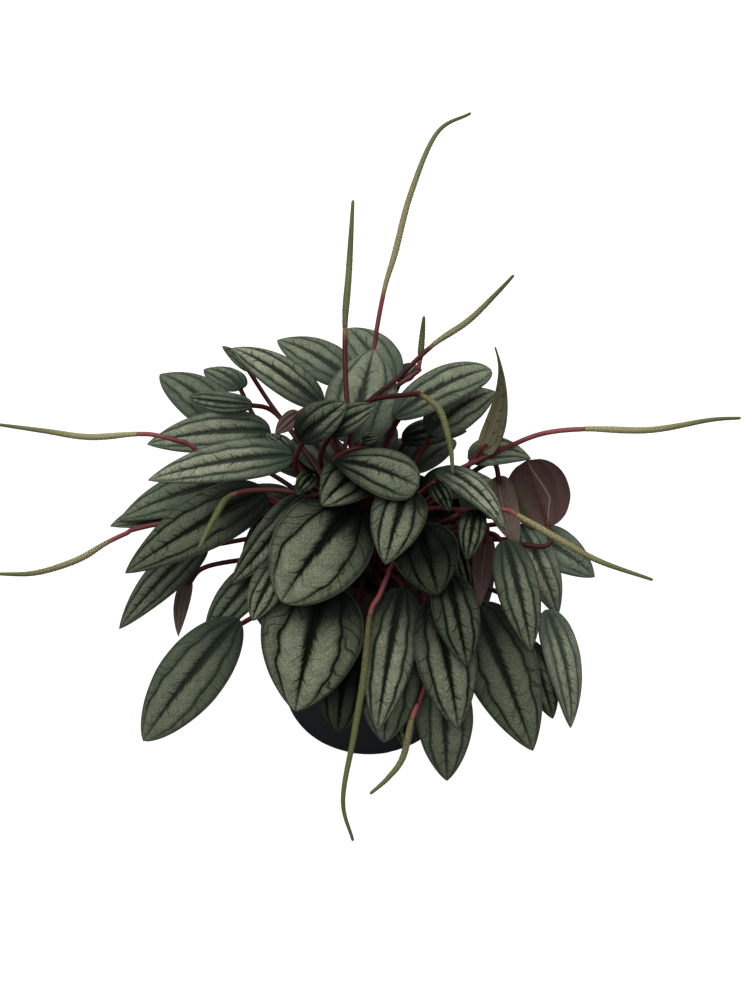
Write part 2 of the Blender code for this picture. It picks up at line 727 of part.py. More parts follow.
def piece_shape(name):
    """The shape, in millimetres, of an object that is modelled already."""
    bm = bmesh.new()
    bm.from_mesh(bpy.data.objects[name].data)
    bmesh.ops.scale(bm, vec=(1 / MM, 1 / MM, 1 / MM), verts=bm.verts)
    shape = shape_of(bm)
    bm.free()
    return shape


def joined_surface(shapes):
    """One search tree of several shapes."""
    points, faces = [], []
    for own_points, own_faces in shapes:
        first = len(points)
        points += own_points
        faces += [[first + index for index in face] for face in own_faces]
    return BVHTree.FromPolygons(points, faces)


def make_plant():
    """The leaves, the spadices and the crown with its stalks."""
    plant = placed_plant()
    shapes, fused = {"pot": piece_shape("pot"), "soil": piece_shape("soil")}, []
    for name, piece in plant.items():
        if isinstance(piece, Blade):
            bm, finish = blade_bmesh(name, piece), GREEN
        else:
            bm, finish = piece.spadix_bmesh(), OLIVE
        if name.startswith(("leaf", "spike")):
            shapes[name] = shape_of(bm)
        node = name.replace("spike", "spadix")
        solid = link(node, finished_mesh(node, bm), finish)
        if not name.startswith(("leaf", "spike")):
            fused.append(solid)
    canopy = joined_surface(shapes.values())
    for name, piece in plant.items():
        others = joined_surface(shape for other, shape in shapes.items() if other != name)
        if isinstance(piece, Spike):
            visible = piece.split()[0]
            radius = PEDUNCLE_RADIUS
            ways = ranked_routes(peduncle_arrivals(visible), canopy)
            path = clear_route(ways, radius, None, others)
            path = path[:-1] + visible[:-1:LINE_STEPS // 2] + visible[-2:]
        else:
            large = name in shapes
            gap = SEAT_GAP if large else -BLADE_THICKNESS
            own_tree = joined_surface([shapes[name]]) if large else None
            radius = STALK_RADIUS
            arrivals = piece.arrivals(radius, gap)
            ways = (path for end, approach in arrivals for path in routes(end, approach))
            path = clear_route(ways, radius, own_tree, others)
        bm = tube_bmesh(path, [radius] * len(path), STALK_SIDES)
        fused.append(link("stalk", finished_mesh("stalk", bm), RED))
    crown = make_crown()
    join_solids(crown, fused, "UNION", "MANIFOLD")


def main():
    """Clears the scene and models the plant in its pot."""
    for piece in list(bpy.data.objects):
        bpy.data.objects.remove(piece)
    make_pot()
    make_soil()
    make_plant()


main()
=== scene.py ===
"""The looks of a potted peperomia: quilted silver-green leaves, red stalks and beaded flower spikes.

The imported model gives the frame. The sizes below are in millimetres and repeat those of its source,
and each leaf and spike is placed by the pixels of its ends in the photograph, 750 by 1000.
"""

import logging
import math
import random
from dataclasses import dataclass, field
from enum import Enum
from typing import Callable, Iterator, Sequence

import bmesh
import bpy
from mathutils import Matrix, Vector, noise
from mathutils.bvhtree import BVHTree


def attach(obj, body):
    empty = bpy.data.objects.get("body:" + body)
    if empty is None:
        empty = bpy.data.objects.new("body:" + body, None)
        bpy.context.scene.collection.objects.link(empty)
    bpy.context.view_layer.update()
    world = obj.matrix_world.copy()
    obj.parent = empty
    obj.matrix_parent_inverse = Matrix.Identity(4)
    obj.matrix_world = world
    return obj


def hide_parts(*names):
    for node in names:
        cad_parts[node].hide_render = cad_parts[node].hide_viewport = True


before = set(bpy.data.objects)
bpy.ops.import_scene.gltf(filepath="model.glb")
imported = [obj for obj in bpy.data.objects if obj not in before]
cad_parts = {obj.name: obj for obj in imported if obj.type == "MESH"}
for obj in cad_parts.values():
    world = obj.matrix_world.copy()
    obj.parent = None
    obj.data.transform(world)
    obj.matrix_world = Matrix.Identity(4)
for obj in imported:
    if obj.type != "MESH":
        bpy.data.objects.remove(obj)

MM = 0.001
LOG = logging.getLogger("peperomia")

Colour = tuple[float, float, float]
Pixel = tuple[float, float]

# The photograph's viewpoint
EYE = Vector((3.0, -506.0, 681.0))
LOOK_DOWN = math.radians(47)
LENS = 60.0
SENSOR = 36.0
FOCAL_PIXELS = LENS / SENSOR * 1000
PHOTO_CENTRE = (375.0, 500.0)
AHEAD = Vector((0, math.cos(LOOK_DOWN), -math.sin(LOOK_DOWN)))
UPWARD = Vector((0, math.sin(LOOK_DOWN), math.cos(LOOK_DOWN)))
ACROSS = Vector((1, 0, 0))

MERGE_DISTANCE = 0.004

# A leaf's side veins, as shares of its half width from the midrib: at its base, how far they move
# outward toward its tip, and by what power of the length
SIDE_VEIN = 0.5
VEIN_SPREAD = 0.26
VEIN_POWER = 1.2

# Leaves and spikes from the back of the view to the front.
# A leaf: name, base pixel, base height, tip pixel, tip height, width, roll, fold, arch.
# A leaf named young_ or under_ is small or hidden and belongs to the crown.
LEAVES_AND_SPIKES = (
    ("young_45", (250, 371), 122, (222, 346), 118, 6, 0, 15, 2),
    ("young_02", (242, 388), 124, (204, 369), 116, 16, 20, 5, 3),
    ("young_56", (400, 380), 142, (416, 364), 142, 9, 0, 10, 2),
    ("leaf_41", (392, 385), 144, (348, 328), 144, 24, 0, 14, 5),
    ("leaf_43", (352, 383), 146, (277, 340), 144, 22, 10, 14, 5),
    ("leaf_01", (232, 429), 130, (160, 374), 120, 25, 10, 12, 6),
    ("leaf_04", (271, 432), 134, (147, 444), 126, 22, 0, 14, 6),
    ("leaf_03", (252, 405), 146, (188, 397), 136, 10, -30, 10, 6),
    ("leaf_44", (321, 405), 150, (232, 348), 140, 18, 0, 14, 6),
    ("spike_a",),
    ("young_49", (292, 453), 140, (266, 434), 138, 9, 20, 10, 2),
    ("young_50", (299, 412), 150, (275, 434), 146, 8, 160, 10, 2),
    ("leaf_42", (352, 444), 154, (374, 349), 160, 33, 0, 14, 5),
    ("leaf_40", (402, 440), 134, (467, 431), 128, 14, -5, 14, 5),
    ("leaf_39", (428, 433), 147, (495, 391), 143, 21, -5, 14, 5),
    ("spike_d",),
    ("leaf_38", (394, 417), 160, (491, 369), 156, 20, -5, 14, 6),
    ("spike_c",),
    ("leaf_31", (528, 534), 114, (595, 577), 98, 20, 0, 12, 5),
    ("leaf_28", (520, 524), 118, (558, 616), 82, 18, 0, 12, 6),
    ("leaf_32", (549, 527), 120, (527, 460), 148, 29, 172, 4, 3),
    ("leaf_33", (497, 476), 148, (518, 546), 128, 15, 165, 8, 4),
    ("leaf_36", (468, 457), 152, (531, 458), 146, 17, -20, 12, 5),
    ("leaf_09", (188, 578), 92, (178, 636), 72, 8, 150, 5, 3),
    ("leaf_08", (205, 540), 104, (119, 629), 82, 18, 0, 14, 6),
    ("under_06", (222, 500), 106, (110, 526), 100, 18, 0, 14, 5),
    ("leaf_06", (242, 483), 116, (119, 520), 104, 24, 10, 14, 6),
    ("spike_e",),
    ("leaf_05", (293, 456), 144, (148, 480), 134, 20, 0, 16, 6),
    ("spike_f",),
    ("leaf_07", (266, 492), 138, (125, 573), 116, 27, 0, 16, 6),
    ("leaf_11", (268, 566), 114, (204, 640), 88, 18, 0, 14, 6),
    ("leaf_10", (239, 619), 106, (143, 741), 62, 30, 0, 12, 5),
    ("under_30", (524, 640), 100, (553, 719), 62, 15, 0, 14, 5),
    ("leaf_29", (546, 610), 106, (571, 728), 60, 20, -30, 14, 5),
    ("under_17", (401, 664), 101, (406, 752), 58, 13, 0, 14, 3),
    ("leaf_24", (442, 668), 97, (447, 781), 46, 25, 0, 14, 6),
    ("leaf_26", (474, 604), 116, (533, 751), 62, 33, 0, 14, 6),
    ("leaf_57", (394, 640), 112, (384, 743), 62, 26, 0, 14, 6),
    ("leaf_16", (350, 638), 112, (338, 733), 60, 24, 0, 14, 6),
    ("leaf_17", (402, 588), 128, (377, 731), 74, 23, 0, 16, 7),
    ("young_54", (457, 541), 132, (470, 590), 112, 10, 0, 14, 4),
    ("leaf_23", (434, 598), 126, (458, 729), 74, 27, 0, 14, 7),
    ("spike_l",),
    ("leaf_22", (446, 574), 140, (467, 667), 108, 20, 0, 16, 6),
    ("leaf_12", (304, 497), 140, (231, 584), 112, 17, -20, 25, 6),
    ("leaf_15", (325, 582), 128, (295, 712), 76, 45, 0, 10, 7),
    ("leaf_13", (284, 560), 134, (252, 621), 108, 16, 0, 14, 5),
    ("spike_k",),
    ("young_58", (487, 536), 126, (480, 606), 100, 10, 168, 8, 3),
    ("leaf_27", (505, 540), 140, (531, 651), 96, 19, 0, 12, 6),
    ("spike_i",),
    ("leaf_35", (476, 509), 148, (467, 561), 134, 12, 0, 14, 4),
    ("leaf_34", (438, 469), 158, (505, 529), 144, 16, -25, 14, 6),
    ("spike_h",),
    ("leaf_37", (484, 453), 150, (496, 347), 196, 15, 128, 12, 6),
    ("leaf_21", (416, 526), 148, (438, 596), 126, 29, 0, 12, 6),
    ("leaf_14", (357, 504), 152, (281, 602), 126, 43, 0, 10, 6),
    ("leaf_20", (408, 488), 156, (385, 565), 136, 24, 0, 12, 6),
    ("young_52", (434, 482), 156, (450, 512), 148, 9, 0, 14, 3),
    ("spike_g",),
    ("leaf_18", (368, 466), 164, (321, 506), 154, 24, 0, 26, 4),
    ("young_48", (314, 475), 156, (296, 495), 152, 9, 0, 30, 2),
    ("spike_b",),
    ("leaf_19", (333, 461), 170, (419, 487), 168, 22, 0, 8, 6),
    ("young_55", (362, 441), 172, (379, 437), 173, 6, 0, 20, 1),
    ("leaf_47", (327, 434), 172, (377, 405), 176, 13, 0, 30, 2),
    ("leaf_46", (299, 441), 174, (347, 402), 180, 17, 0, 30, 2),
    ("spike_j",),
)

# Leaves that are not widest near the base: their base rounding and tip taper.
PLAIN_OUTLINE = (0.45, 0.85)
OWN_OUTLINES = {
    "leaf_19": (0.9, 0.45), "leaf_32": (0.5, 0.5), "leaf_37": (0.3, 1.5), "leaf_10": (0.6, 0.75),
    "leaf_38": (0.5, 0.55), "leaf_14": (0.5, 0.65),
}

# Leaves on the far side of the mound.
# A leaf: name, compass angle from +X, base radius, base height, tip radius, tip height, width.
BACK_LEAVES = (
    ("back_01", 22, 46, 116, 98, 84, 24),
    ("back_02", 47, 42, 110, 96, 74, 26),
    ("back_03", 72, 44, 114, 99, 78, 25),
    ("back_04", 97, 42, 108, 97, 70, 26),
    ("back_05", 121, 44, 114, 98, 80, 25),
    ("back_06", 146, 42, 108, 96, 74, 24),
    ("back_07", 60, 34, 126, 82, 106, 23),
    ("back_08", 88, 34, 126, 86, 106, 24),
    ("back_09", 116, 34, 124, 82, 104, 23),
)

# Spikes: pixels and heights of the red stalk, then of the beaded spadix, from the crown outward.
SPIKES = {
    "spike_a": (
        ((373, 350, 158), (384, 291, 182)),
        ((395, 253, 196), (411, 193, 216), (437, 133, 234), (471, 113, 236)),
    ),
    "spike_b": (
        ((355, 456, 162), (347, 402, 176), (345, 328, 196)),
        ((349, 270, 210), (353, 200, 232)),
    ),
    "spike_c": (
        ((397, 379, 166), (433, 345, 176)),
        ((468, 321, 184), (495, 295, 194), (514, 275, 204)),
    ),
    "spike_d": (
        ((417, 372, 160), (420, 360, 164)),
        ((422, 338, 172), (424, 316, 182)),
    ),
    "spike_e": (
        ((190, 445, 144), (160, 436, 146), (137, 434, 146)),
        ((89, 437, 144), (45, 431, 143), (-6, 424, 142)),
    ),
    "spike_f": (
        ((136, 529, 110), (108, 542, 112)),
        ((77, 560, 110), (35, 573, 106), (-6, 574, 102)),
    ),
    "spike_g": (
        ((312, 496, 156), (272, 490, 158), (232, 495, 152)),
        ((215, 517, 148), (199, 548, 144)),
    ),
    "spike_h": (
        ((503, 449, 154), (541, 434, 160), (585, 429, 162)),
        ((650, 430, 160), (710, 420, 160), (741, 418, 160)),
    ),
    "spike_i": (
        ((440, 508, 147), (472, 511, 151), (504, 510, 154), (517, 515, 153)),
        ((560, 540, 150), (599, 561, 146), (653, 580, 142)),
    ),
    "spike_j": (
        ((415, 394, 184), (423, 396, 187)),
        ((440, 411, 185), (450, 445, 175), (453, 474, 166)),
    ),
    "spike_k": (
        ((392, 565, 140), (379, 596, 136), (370, 615, 131)),
        ((364, 675, 114), (354, 735, 94), (343, 800, 74), (353, 841, 60)),
    ),
    "spike_l": (
        ((420, 700, 90), (412, 719, 88)),
        ((403, 757, 76), (388, 778, 70), (370, 794, 66)),
    ),
}

# What tells a leaf from the others, from 0 to 1: how silver its bands are, partly painted shade on
# leaves that lie in shadow; how pale its dark parts, partly a dull bloom and partly painted sheen and
# reflected light; how far the painted shade and painted shadow at its foot reach, over its own dark
# base; and how red its underside is
PLAIN_LOOK = (0.4, 0.25, 0.3, 0.4)
OWN_LOOKS = {
    "leaf_01": (0.28, 0.5, 0.1, 0.4), "leaf_03": (0.4, 0.6, 0.3, 0.4),
    "leaf_04": (0.55, 0.55, 0.1, 0.4), "leaf_05": (0.75, 0.55, 0.15, 0.4),
    "leaf_06": (0.3, 0.48, 0.2, 0.4), "leaf_07": (0.24, 0.05, 0.62, 0.4),
    "leaf_08": (0.3, 0.3, 0.3, 0.4), "leaf_09": (0.4, 1.0, 0.3, 0.5), "leaf_10": (0.34, 0.3, 0.25, 0.4),
    "leaf_11": (0.32, 0.25, 0.3, 0.4), "leaf_12": (0.5, 0.15, 0.35, 0.4),
    "leaf_13": (0.85, 0.2, 0.3, 0.4), "leaf_14": (0.55, 0.0, 0.55, 0.4),
    "leaf_15": (0.88, 0.05, 0.55, 0.4), "leaf_16": (0.12, 0.0, 0.85, 0.4),
    "leaf_17": (0.95, 0.2, 0.35, 0.4), "leaf_18": (0.5, 0.0, 0.85, 0.4),
    "leaf_19": (0.38, 0.1, 0.15, 0.4), "leaf_20": (0.6, 0.05, 0.5, 0.4),
    "leaf_21": (0.14, 0.0, 0.95, 0.4), "leaf_22": (0.34, 0.05, 0.45, 0.4),
    "leaf_23": (0.72, 0.1, 0.42, 0.4), "leaf_24": (0.45, 0.5, 0.3, 0.4),
    "leaf_26": (0.36, 0.2, 0.48, 0.4), "leaf_27": (0.68, 0.42, 0.15, 0.7),
    "leaf_28": (0.75, 1.0, 0.15, 0.4), "leaf_29": (0.8, 1.0, 0.1, 0.4),
    "leaf_31": (0.35, 1.0, 0.1, 0.4), "leaf_32": (0.4, 0.1, 0.3, 1.0), "leaf_33": (0.4, 0.45, 0.3, 0.6),
    "leaf_34": (0.85, 0.3, 0.3, 0.4), "leaf_35": (0.4, 0.05, 0.5, 0.4), "leaf_36": (0.6, 0.6, 0.3, 0.4),
    "leaf_37": (0.4, 0.1, 0.5, 0.15), "leaf_38": (0.6, 0.5, 0.15, 0.4),
    "leaf_39": (0.6, 0.4, 0.35, 0.4), "leaf_40": (0.5, 0.1, 0.4, 0.4), "leaf_41": (0.36, 0.8, 0.1, 0.4),
    "leaf_42": (0.5, 0.5, 0.15, 0.4), "leaf_43": (0.42, 0.55, 0.1, 0.4),
    "leaf_44": (0.8, 0.35, 0.3, 0.4), "leaf_46": (0.28, 0.1, 0.6, 0.4),
    "leaf_47": (0.32, 0.15, 0.5, 0.4), "leaf_57": (0.6, 0.4, 0.3, 0.4),
    "under_06": (0.4, 0.5, 0.3, 0.4), "under_17": (0.4, 0.0, 0.3, 0.4),
    "young_02": (0.4, 0.6, 0.1, 0.4), "young_45": (0.4, 0.6, 0.1, 0.4),
    "young_48": (0.15, 0.0, 0.3, 0.4), "young_50": (0.4, 0.25, 0.3, 0.75),
    "young_52": (0.2, 0.0, 0.3, 0.4), "young_54": (0.4, 0.0, 0.3, 0.4),
    "young_58": (0.4, 0.25, 0.3, 0.9),
}

# Leaves whose midrib is seen bent on a red underside with mossy patches
BENT_MIDRIBS = ("leaf_32",)

# How ripe a spike's beads are, from smooth green to beige; spike_g's 0 is partly painted shade, as it
# lies in shade
PLAIN_RIPENESS = 0.7
OWN_RIPENESS = {
    "spike_a": 0.95, "spike_b": 0.22, "spike_c": 0.7, "spike_d": 0.1, "spike_e": 1.0,
    "spike_f": 0.7, "spike_g": 0.0, "spike_h": 1.0, "spike_i": 0.75, "spike_j": 0.35,
    "spike_k": 0.2, "spike_l": 0.45,
}

# Spikes whose stalk lies in shade: they take the leaf stalks' darker skin as painted shade
SHADED_STALKS = ("spike_b", "spike_c", "spike_g", "spike_j")


def sight(pixel: Pixel, height: float) -> Vector:
    """The point at a height, in millimetres, that one pixel of the photograph shows."""
    right = (pixel[0] - PHOTO_CENTRE[0]) / FOCAL_PIXELS
    down = (pixel[1] - PHOTO_CENTRE[1]) / FOCAL_PIXELS
    direction = AHEAD + ACROSS * right - UPWARD * down
    return EYE + direction * ((height - EYE.z) / direction.z)


def nearer(point: Vector, share: float) -> Vector:
    """A point moved along its line of sight, where a share under 1 brings it nearer to the eye."""
    return EYE + (point - EYE) * share


def node_points(node: str) -> list[Vector]:
    """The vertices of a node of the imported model, in millimetres."""
    return [v.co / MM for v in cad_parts[node].data.vertices]


def node_tree(node: str) -> BVHTree:
    """A search tree, in millimetres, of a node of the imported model."""
    bm = bmesh.new()
    bm.from_mesh(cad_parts[node].data)
    bmesh.ops.scale(bm, vec=(1 / MM, 1 / MM, 1 / MM), verts=bm.verts)
    tree = BVHTree.FromBMesh(bm)
    bm.free()
    return tree


def depth_share(node: str, ideal: Vector, count: int) -> float:
    """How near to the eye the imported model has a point, as a share of its distance in the table.

    Args:
        node: the node that has the point.
        ideal: the point as the table gives it.
        count: how many vertices stand round the point, 1 where it is a vertex itself.

    Returns:
        The share, 1 where the point has not moved.
    """
    ray = ideal - EYE
    found = []
    for point in node_points(node):
        share = (point - EYE).dot(ray) / ray.length_squared
        found.append(((point - EYE - ray * share).length, share))
    nearest = sorted(found)[:count]
    return sum(share for _, share in nearest) / count


def smooth_path(points: Sequence[Vector], count: int) -> list[Vector]:
    """Points evenly spaced in parameter on a Catmull-Rom curve.

    Args:
        points: the points that the curve passes through.
        count: how many steps the curve is cut into.

    Returns:
        The points of the curve, one more than the steps.
    """
    ends = [points[0] * 2 - points[1], *points, points[-1] * 2 - points[-2]]
    path = []
    for step in range(count + 1):
        place = step / count * (len(points) - 1)
        k = min(int(place), len(points) - 2)
        t = place - k
        a, b, c, d = ends[k:k + 4]
        bend = (2 * a - 5 * b + 4 * c - d) * t * t + (3 * b - a - 3 * c + d) * t ** 3
        path.append(b + ((c - a) * t + bend) / 2)
    return path


def even_path(points: Sequence[Vector], spacing: float) -> list[Vector]:
    """The same path with its points evenly spaced along it.

    Args:
        points: a dense path.
        spacing: the distance wanted between points.

    Returns:
        The path's points, its two ends kept.
    """
    lengths = [0.0]
    for a, b in zip(points, points[1:]):
        lengths.append(lengths[-1] + (b - a).length)
    steps = max(4, round(lengths[-1] / spacing))
    path, k = [], 0
    for step in range(steps + 1):
        wanted = lengths[-1] * step / steps
        while k < len(points) - 2 and lengths[k + 1] < wanted:
            k += 1
        span = lengths[k + 1] - lengths[k]
        path.append(points[k].lerp(points[k + 1], (wanted - lengths[k]) / span))
    return path


def smooth_step(low: float, high: float, value: float) -> float:
    """A smooth rise from 0 at the low value to 1 at the high one."""
    t = min(1.0, max(0.0, (value - low) / (high - low)))
    return t * t * (3 - 2 * t)


def shaped_grid(
    columns: Sequence[float], rows: Sequence[float],
    place: Callable[[float, float], Vector],
    maps: dict[str, Callable[[float, float], tuple[float, float]]],
) -> bmesh.types.BMesh:
    """A grid with each vertex at the place that a function gives for its column and row.

    Args:
        columns: the first parameter at each column.
        rows: the second parameter at each row.
        place: gives the point in millimetres.
        maps: the name of each UV map and the function that gives its coordinates.

    Returns:
        The grid, its ends and seam not yet merged.
    """
    bm = bmesh.new()
    bmesh.ops.create_grid(bm, x_segments=len(columns) - 1, y_segments=len(rows) - 1, size=1)
    bm.verts.ensure_lookup_table()
    bm.verts.index_update()
    layers = [(bm.loops.layers.uv.new(name), give) for name, give in maps.items()]
    spots = [(column, row) for row in rows for column in columns]
    for vert, spot in zip(bm.verts, spots):
        vert.co = place(*spot)
    for layer, give in layers:
        given = [give(*spot) for spot in spots]
        for face in bm.faces:
            for loop in face.loops:
                loop[layer].uv = given[loop.vert.index]
    return bm


def mark(bm: bmesh.types.BMesh, name: str, value: float) -> None:
    """Writes one number on every vertex of a bmesh, for its material to read."""
    layer = bm.verts.layers.float.get(name) or bm.verts.layers.float.new(name)
    for vert in bm.verts:
        vert[layer] = value


def as_mesh(name: str, bm: bmesh.types.BMesh) -> bpy.types.Mesh:
    """Makes a mesh of a bmesh, which is freed."""
    mesh = bpy.data.meshes.new(name)
    bm.to_mesh(mesh)
    bm.free()
    return mesh


def placed(name: str, data: bpy.types.ID) -> bpy.types.Object:
    """Makes an object of a mesh, a light or a camera and links it to the scene."""
    thing = bpy.data.objects.new(name, data)
    bpy.context.scene.collection.objects.link(thing)
    return thing


def add_to(target: bmesh.types.BMesh, solid: bmesh.types.BMesh) -> None:
    """Adds a bmesh to another, with its maps and marks, and frees it."""
    mesh = as_mesh("added", solid)
    target.from_mesh(mesh)
    bpy.data.meshes.remove(mesh)


def turned(profile: Sequence[tuple[float, float]], segments: int) -> bmesh.types.BMesh:
    """A solid of revolution about the upright axis.

    Args:
        profile: the radii and heights of the half outline, from axis to axis.
        segments: how many steps make the full turn.

    Returns:
        The closed solid in millimetres.
    """
    bm = bmesh.new()
    corners = [bm.verts.new((radius, 0, height)) for radius, height in profile]
    edges = [bm.edges.new(pair) for pair in zip(corners, corners[1:])]
    bmesh.ops.spin(
        bm, geom=corners + edges, cent=(0, 0, 0), axis=(0, 0, 1),
        angle=2 * math.pi, steps=segments, use_merge=True,
    )
    bmesh.ops.remove_doubles(bm, verts=bm.verts, dist=MERGE_DISTANCE)
    bmesh.ops.dissolve_degenerate(bm, edges=bm.edges, dist=MERGE_DISTANCE)
    bmesh.ops.recalc_face_normals(bm, faces=bm.faces)
    return bm


def swept(
    path: Sequence[Vector], radii: Sequence[float], sides: int,
    relief: Callable[[float, int], float] | None = None, height: float = 0.0,
) -> bmesh.types.BMesh:
    """A closed round tube along a path, plain or with a relief all over it.

    Args:
        path: the centre line in millimetres.
        radii: the tube's radius at each point of the path.
        sides: how many sides the tube has.
        relief: gives how high the skin stands, from 0 to 1, at an angle and at a ring.
        height: how far the relief stands out at most, as a share of the radius.

    Returns:
        The tube, with a UV map named Length: round it, and along it from 0 to 1. Where it has a relief,
        a second map named Relief holds its height.
    """
    last = len(path) - 1
    turn = (path[1] - path[0]).normalized().orthogonal()
    axes = []
    for k in range(len(path)):
        ahead = (path[min(k + 1, last)] - path[max(k - 1, 0)]).normalized()
        turn = (turn - ahead * turn.dot(ahead)).normalized()
        axes.append((turn.copy(), ahead.cross(turn)))

    def place(column: float, row: float) -> Vector:
        """A point of the skin, or an end of the centre line for the first and last row."""
        ring = min(max(int(row) - 1, 0), last)
        if row in (0, last + 2):
            return path[ring]
        angle = 2 * math.pi * column / sides
        first, second = axes[ring]
        stand = height * relief(angle, ring) if relief else 0.0
        return path[ring] + (first * math.cos(angle) + second * math.sin(angle)) * (
            radii[ring] * (1 + stand)
        )

    def relief_map(column: float, row: float) -> tuple[float, float]:
        """The height of the relief."""
        ring = min(max(int(row) - 1, 0), last)
        return (relief(2 * math.pi * column / sides, ring) if relief else 0.0), 0.0

    def length_map(column: float, row: float) -> tuple[float, float]:
        """The share of the way round and along."""
        return column / sides, min(max((row - 1) / last, 0), 1)

    maps = {"Length": length_map, "Relief": relief_map} if relief else {"Length": length_map}
    bm = shaped_grid(range(sides + 1), range(last + 3), place, maps)
    bmesh.ops.remove_doubles(bm, verts=bm.verts, dist=MERGE_DISTANCE)
    bmesh.ops.recalc_face_normals(bm, faces=bm.faces)
    return bm


def finished_piece(
    name: str, bm: bmesh.types.BMesh, finishes: Sequence["Finish"],
    replaced: Sequence[str],
) -> bpy.types.Object:
    """Makes an object of a bmesh in millimetres, dresses it and puts it on the frame.

    Args:
        name: the piece's name.
        bm: its shape, freed here.
        finishes: its finishes, in the order of its material indices.
        replaced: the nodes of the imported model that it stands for.

    Returns:
        The finished piece.
    """
    bmesh.ops.scale(bm, vec=(MM, MM, MM), verts=bm.verts)
    mesh = as_mesh(name, bm)
    mesh.shade_smooth()
    for finish in finishes:
        mesh.materials.append(finish.material())
    piece = placed(name, mesh)
    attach(piece, "root")
    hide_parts(*replaced)
    LOG.info("%s: %d faces", name, len(mesh.polygons))
    return piece


@dataclass(frozen=True)
class Value:
    """A number or colour of a shader, which adds Math nodes where it is used in a sum."""

    graph: "Graph"
    socket: bpy.types.NodeSocket

    def __add__(self, other: "Term") -> "Value":
        """This value and another."""
        return self.graph.math("ADD", self, other)

    def __sub__(self, other: "Term") -> "Value":
        """This value less another."""
        return self.graph.math("SUBTRACT", self, other)

    def __rsub__(self, other: float) -> "Value":
        """A number less this value."""
        return self.graph.math("SUBTRACT", other, self)

    def __mul__(self, other: "Term") -> "Value":
        """This value times another."""
        return self.graph.math("MULTIPLY", self, other)

    def __truediv__(self, other: "Term") -> "Value":
        """This value divided by another."""
        return self.graph.math("DIVIDE", self, other)

    def __rtruediv__(self, other: float) -> "Value":
        """A number divided by this value."""
        return self.graph.math("DIVIDE", other, self)

    def __pow__(self, power: float) -> "Value":
        """This value to a power."""
        return self.graph.math("POWER", self, power)

    def __abs__(self) -> "Value":
        """This value without its sign."""
        return self.graph.math("ABSOLUTE", self)

    def at_least(self, other: "Term") -> "Value":
        """The greater of this value and another."""
        return self.graph.math("MAXIMUM", self, other)

    def at_most(self, other: "Term") -> "Value":
        """The smaller of this value and another."""
        return self.graph.math("MINIMUM", self, other)

    def off_centre(self) -> "Value":
        """How far this value is from the middle between two whole numbers."""
        return abs(self.graph.math("FRACT", self) - 0.5)

    def rise(self, low: "Term", high: "Term", at_low: float = 0.0, at_high: float = 1.0) -> "Value":
        """This value mapped smoothly from one range to another and held at its ends."""
        given = {"Value": self, "From Min": low, "From Max": high, "To Min": at_low, "To Max": at_high}
        return self.graph.node("MapRange", given, interpolation_type="SMOOTHSTEP")


Term = Value | float | tuple[float, ...]


class Graph:
    """The nodes of one material or node group, added and joined by short calls."""

    def __init__(self, tree: bpy.types.NodeTree) -> None:
        """Starts with a node tree that is to be filled."""
        self.tree = tree

    def feed(self, socket: bpy.types.NodeSocket, given: Term) -> None:
        """Links a value to a socket, or sets a plain number or colour on it."""
        if isinstance(given, Value):
            self.tree.links.new(given.socket, socket)
        else:
            socket.default_value = (*given, 1.0) if isinstance(given, tuple) else given

    def add(self, kind: str, given: dict[str | int, Term], **settings: object) -> bpy.types.Node:
        """Adds a node.

        Args:
            kind: the node's type without its prefix, such as TexNoise.
            given: the term for each input, by its name or number.
            settings: the node's own settings.

        Returns:
            The new node.
        """
        node = self.tree.nodes.new("ShaderNode" + kind)
        for key, value in settings.items():
            setattr(node, key, value)
        for key, value in given.items():
            self.feed(node.inputs[key], value)
        return node

    def node(
        self, kind: str, given: dict[str | int, Term], output: str | int = 0, **settings: object,
    ) -> Value:
        """Adds a node and gives one of its outputs."""
        return Value(self, self.add(kind, given, **settings).outputs[output])

    def math(self, operation: str, first: Term, second: Term = 0.0) -> Value:
        """The result of one Math node."""
        return self.node("Math", {0: first, 1: second}, operation=operation)

    def mix(self, share: Term, first: Term, second: Term, blend: str = "MIX") -> Value:
        """A blend of two colours."""
        given = {0: share, 6: first, 7: second}
        return self.node("Mix", given, 2, data_type="RGBA", blend_type=blend)

    def vector(self, x: Term, y: Term, z: Term = 0.0) -> Value:
        """A vector of three values."""
        return self.node("CombineXYZ", {0: x, 1: y, 2: z})

    def parts(self, vector: Value) -> tuple[Value, ...]:
        """The three values of a vector."""
        return tuple(Value(self, part) for part in self.add("SeparateXYZ", {0: vector}).outputs)

    def uv(self, name: str) -> tuple[Value, ...]:
        """The two values of one of the piece's UV maps."""
        return self.parts(self.node("UVMap", {}, uv_map=name))[:2]

    def attribute(self, name: str) -> Value:
        """A number that is marked on the piece's vertices."""
        return self.node("Attribute", {}, "Fac", attribute_name=name)

    def place(self) -> Value:
        """The point's place on the piece."""
        return self.node("TexCoord", {}, "Object")

    def seen(self) -> Value:
        """1 where the camera itself looks, and 0 for light that bounces."""
        return self.node("LightPath", {}, "Is Camera Ray")

    def noise(self, vector: Value, scale: float, detail: float = 2.0) -> Value:
        """Smooth noise, spread over about 0 to 1."""
        given = {"Vector": vector, "Scale": scale, "Detail": detail}
        return self.node("TexNoise", given).rise(0.25, 0.75)

    def drawn(self, phase: Value, seed: Value, draw: float = 0.0) -> Value:
        """A number drawn at random for each whole step of a phase."""
        spot = self.vector(self.math("FLOOR", phase), seed, draw)
        return self.node("TexWhiteNoise", {"Vector": spot}, noise_dimensions="3D")

    def bump(self, height: Value, distance: float, strength: float) -> Value:
        """A normal that follows a height."""
        return self.node("Bump", {"Height": height, "Distance": distance, "Strength": strength})


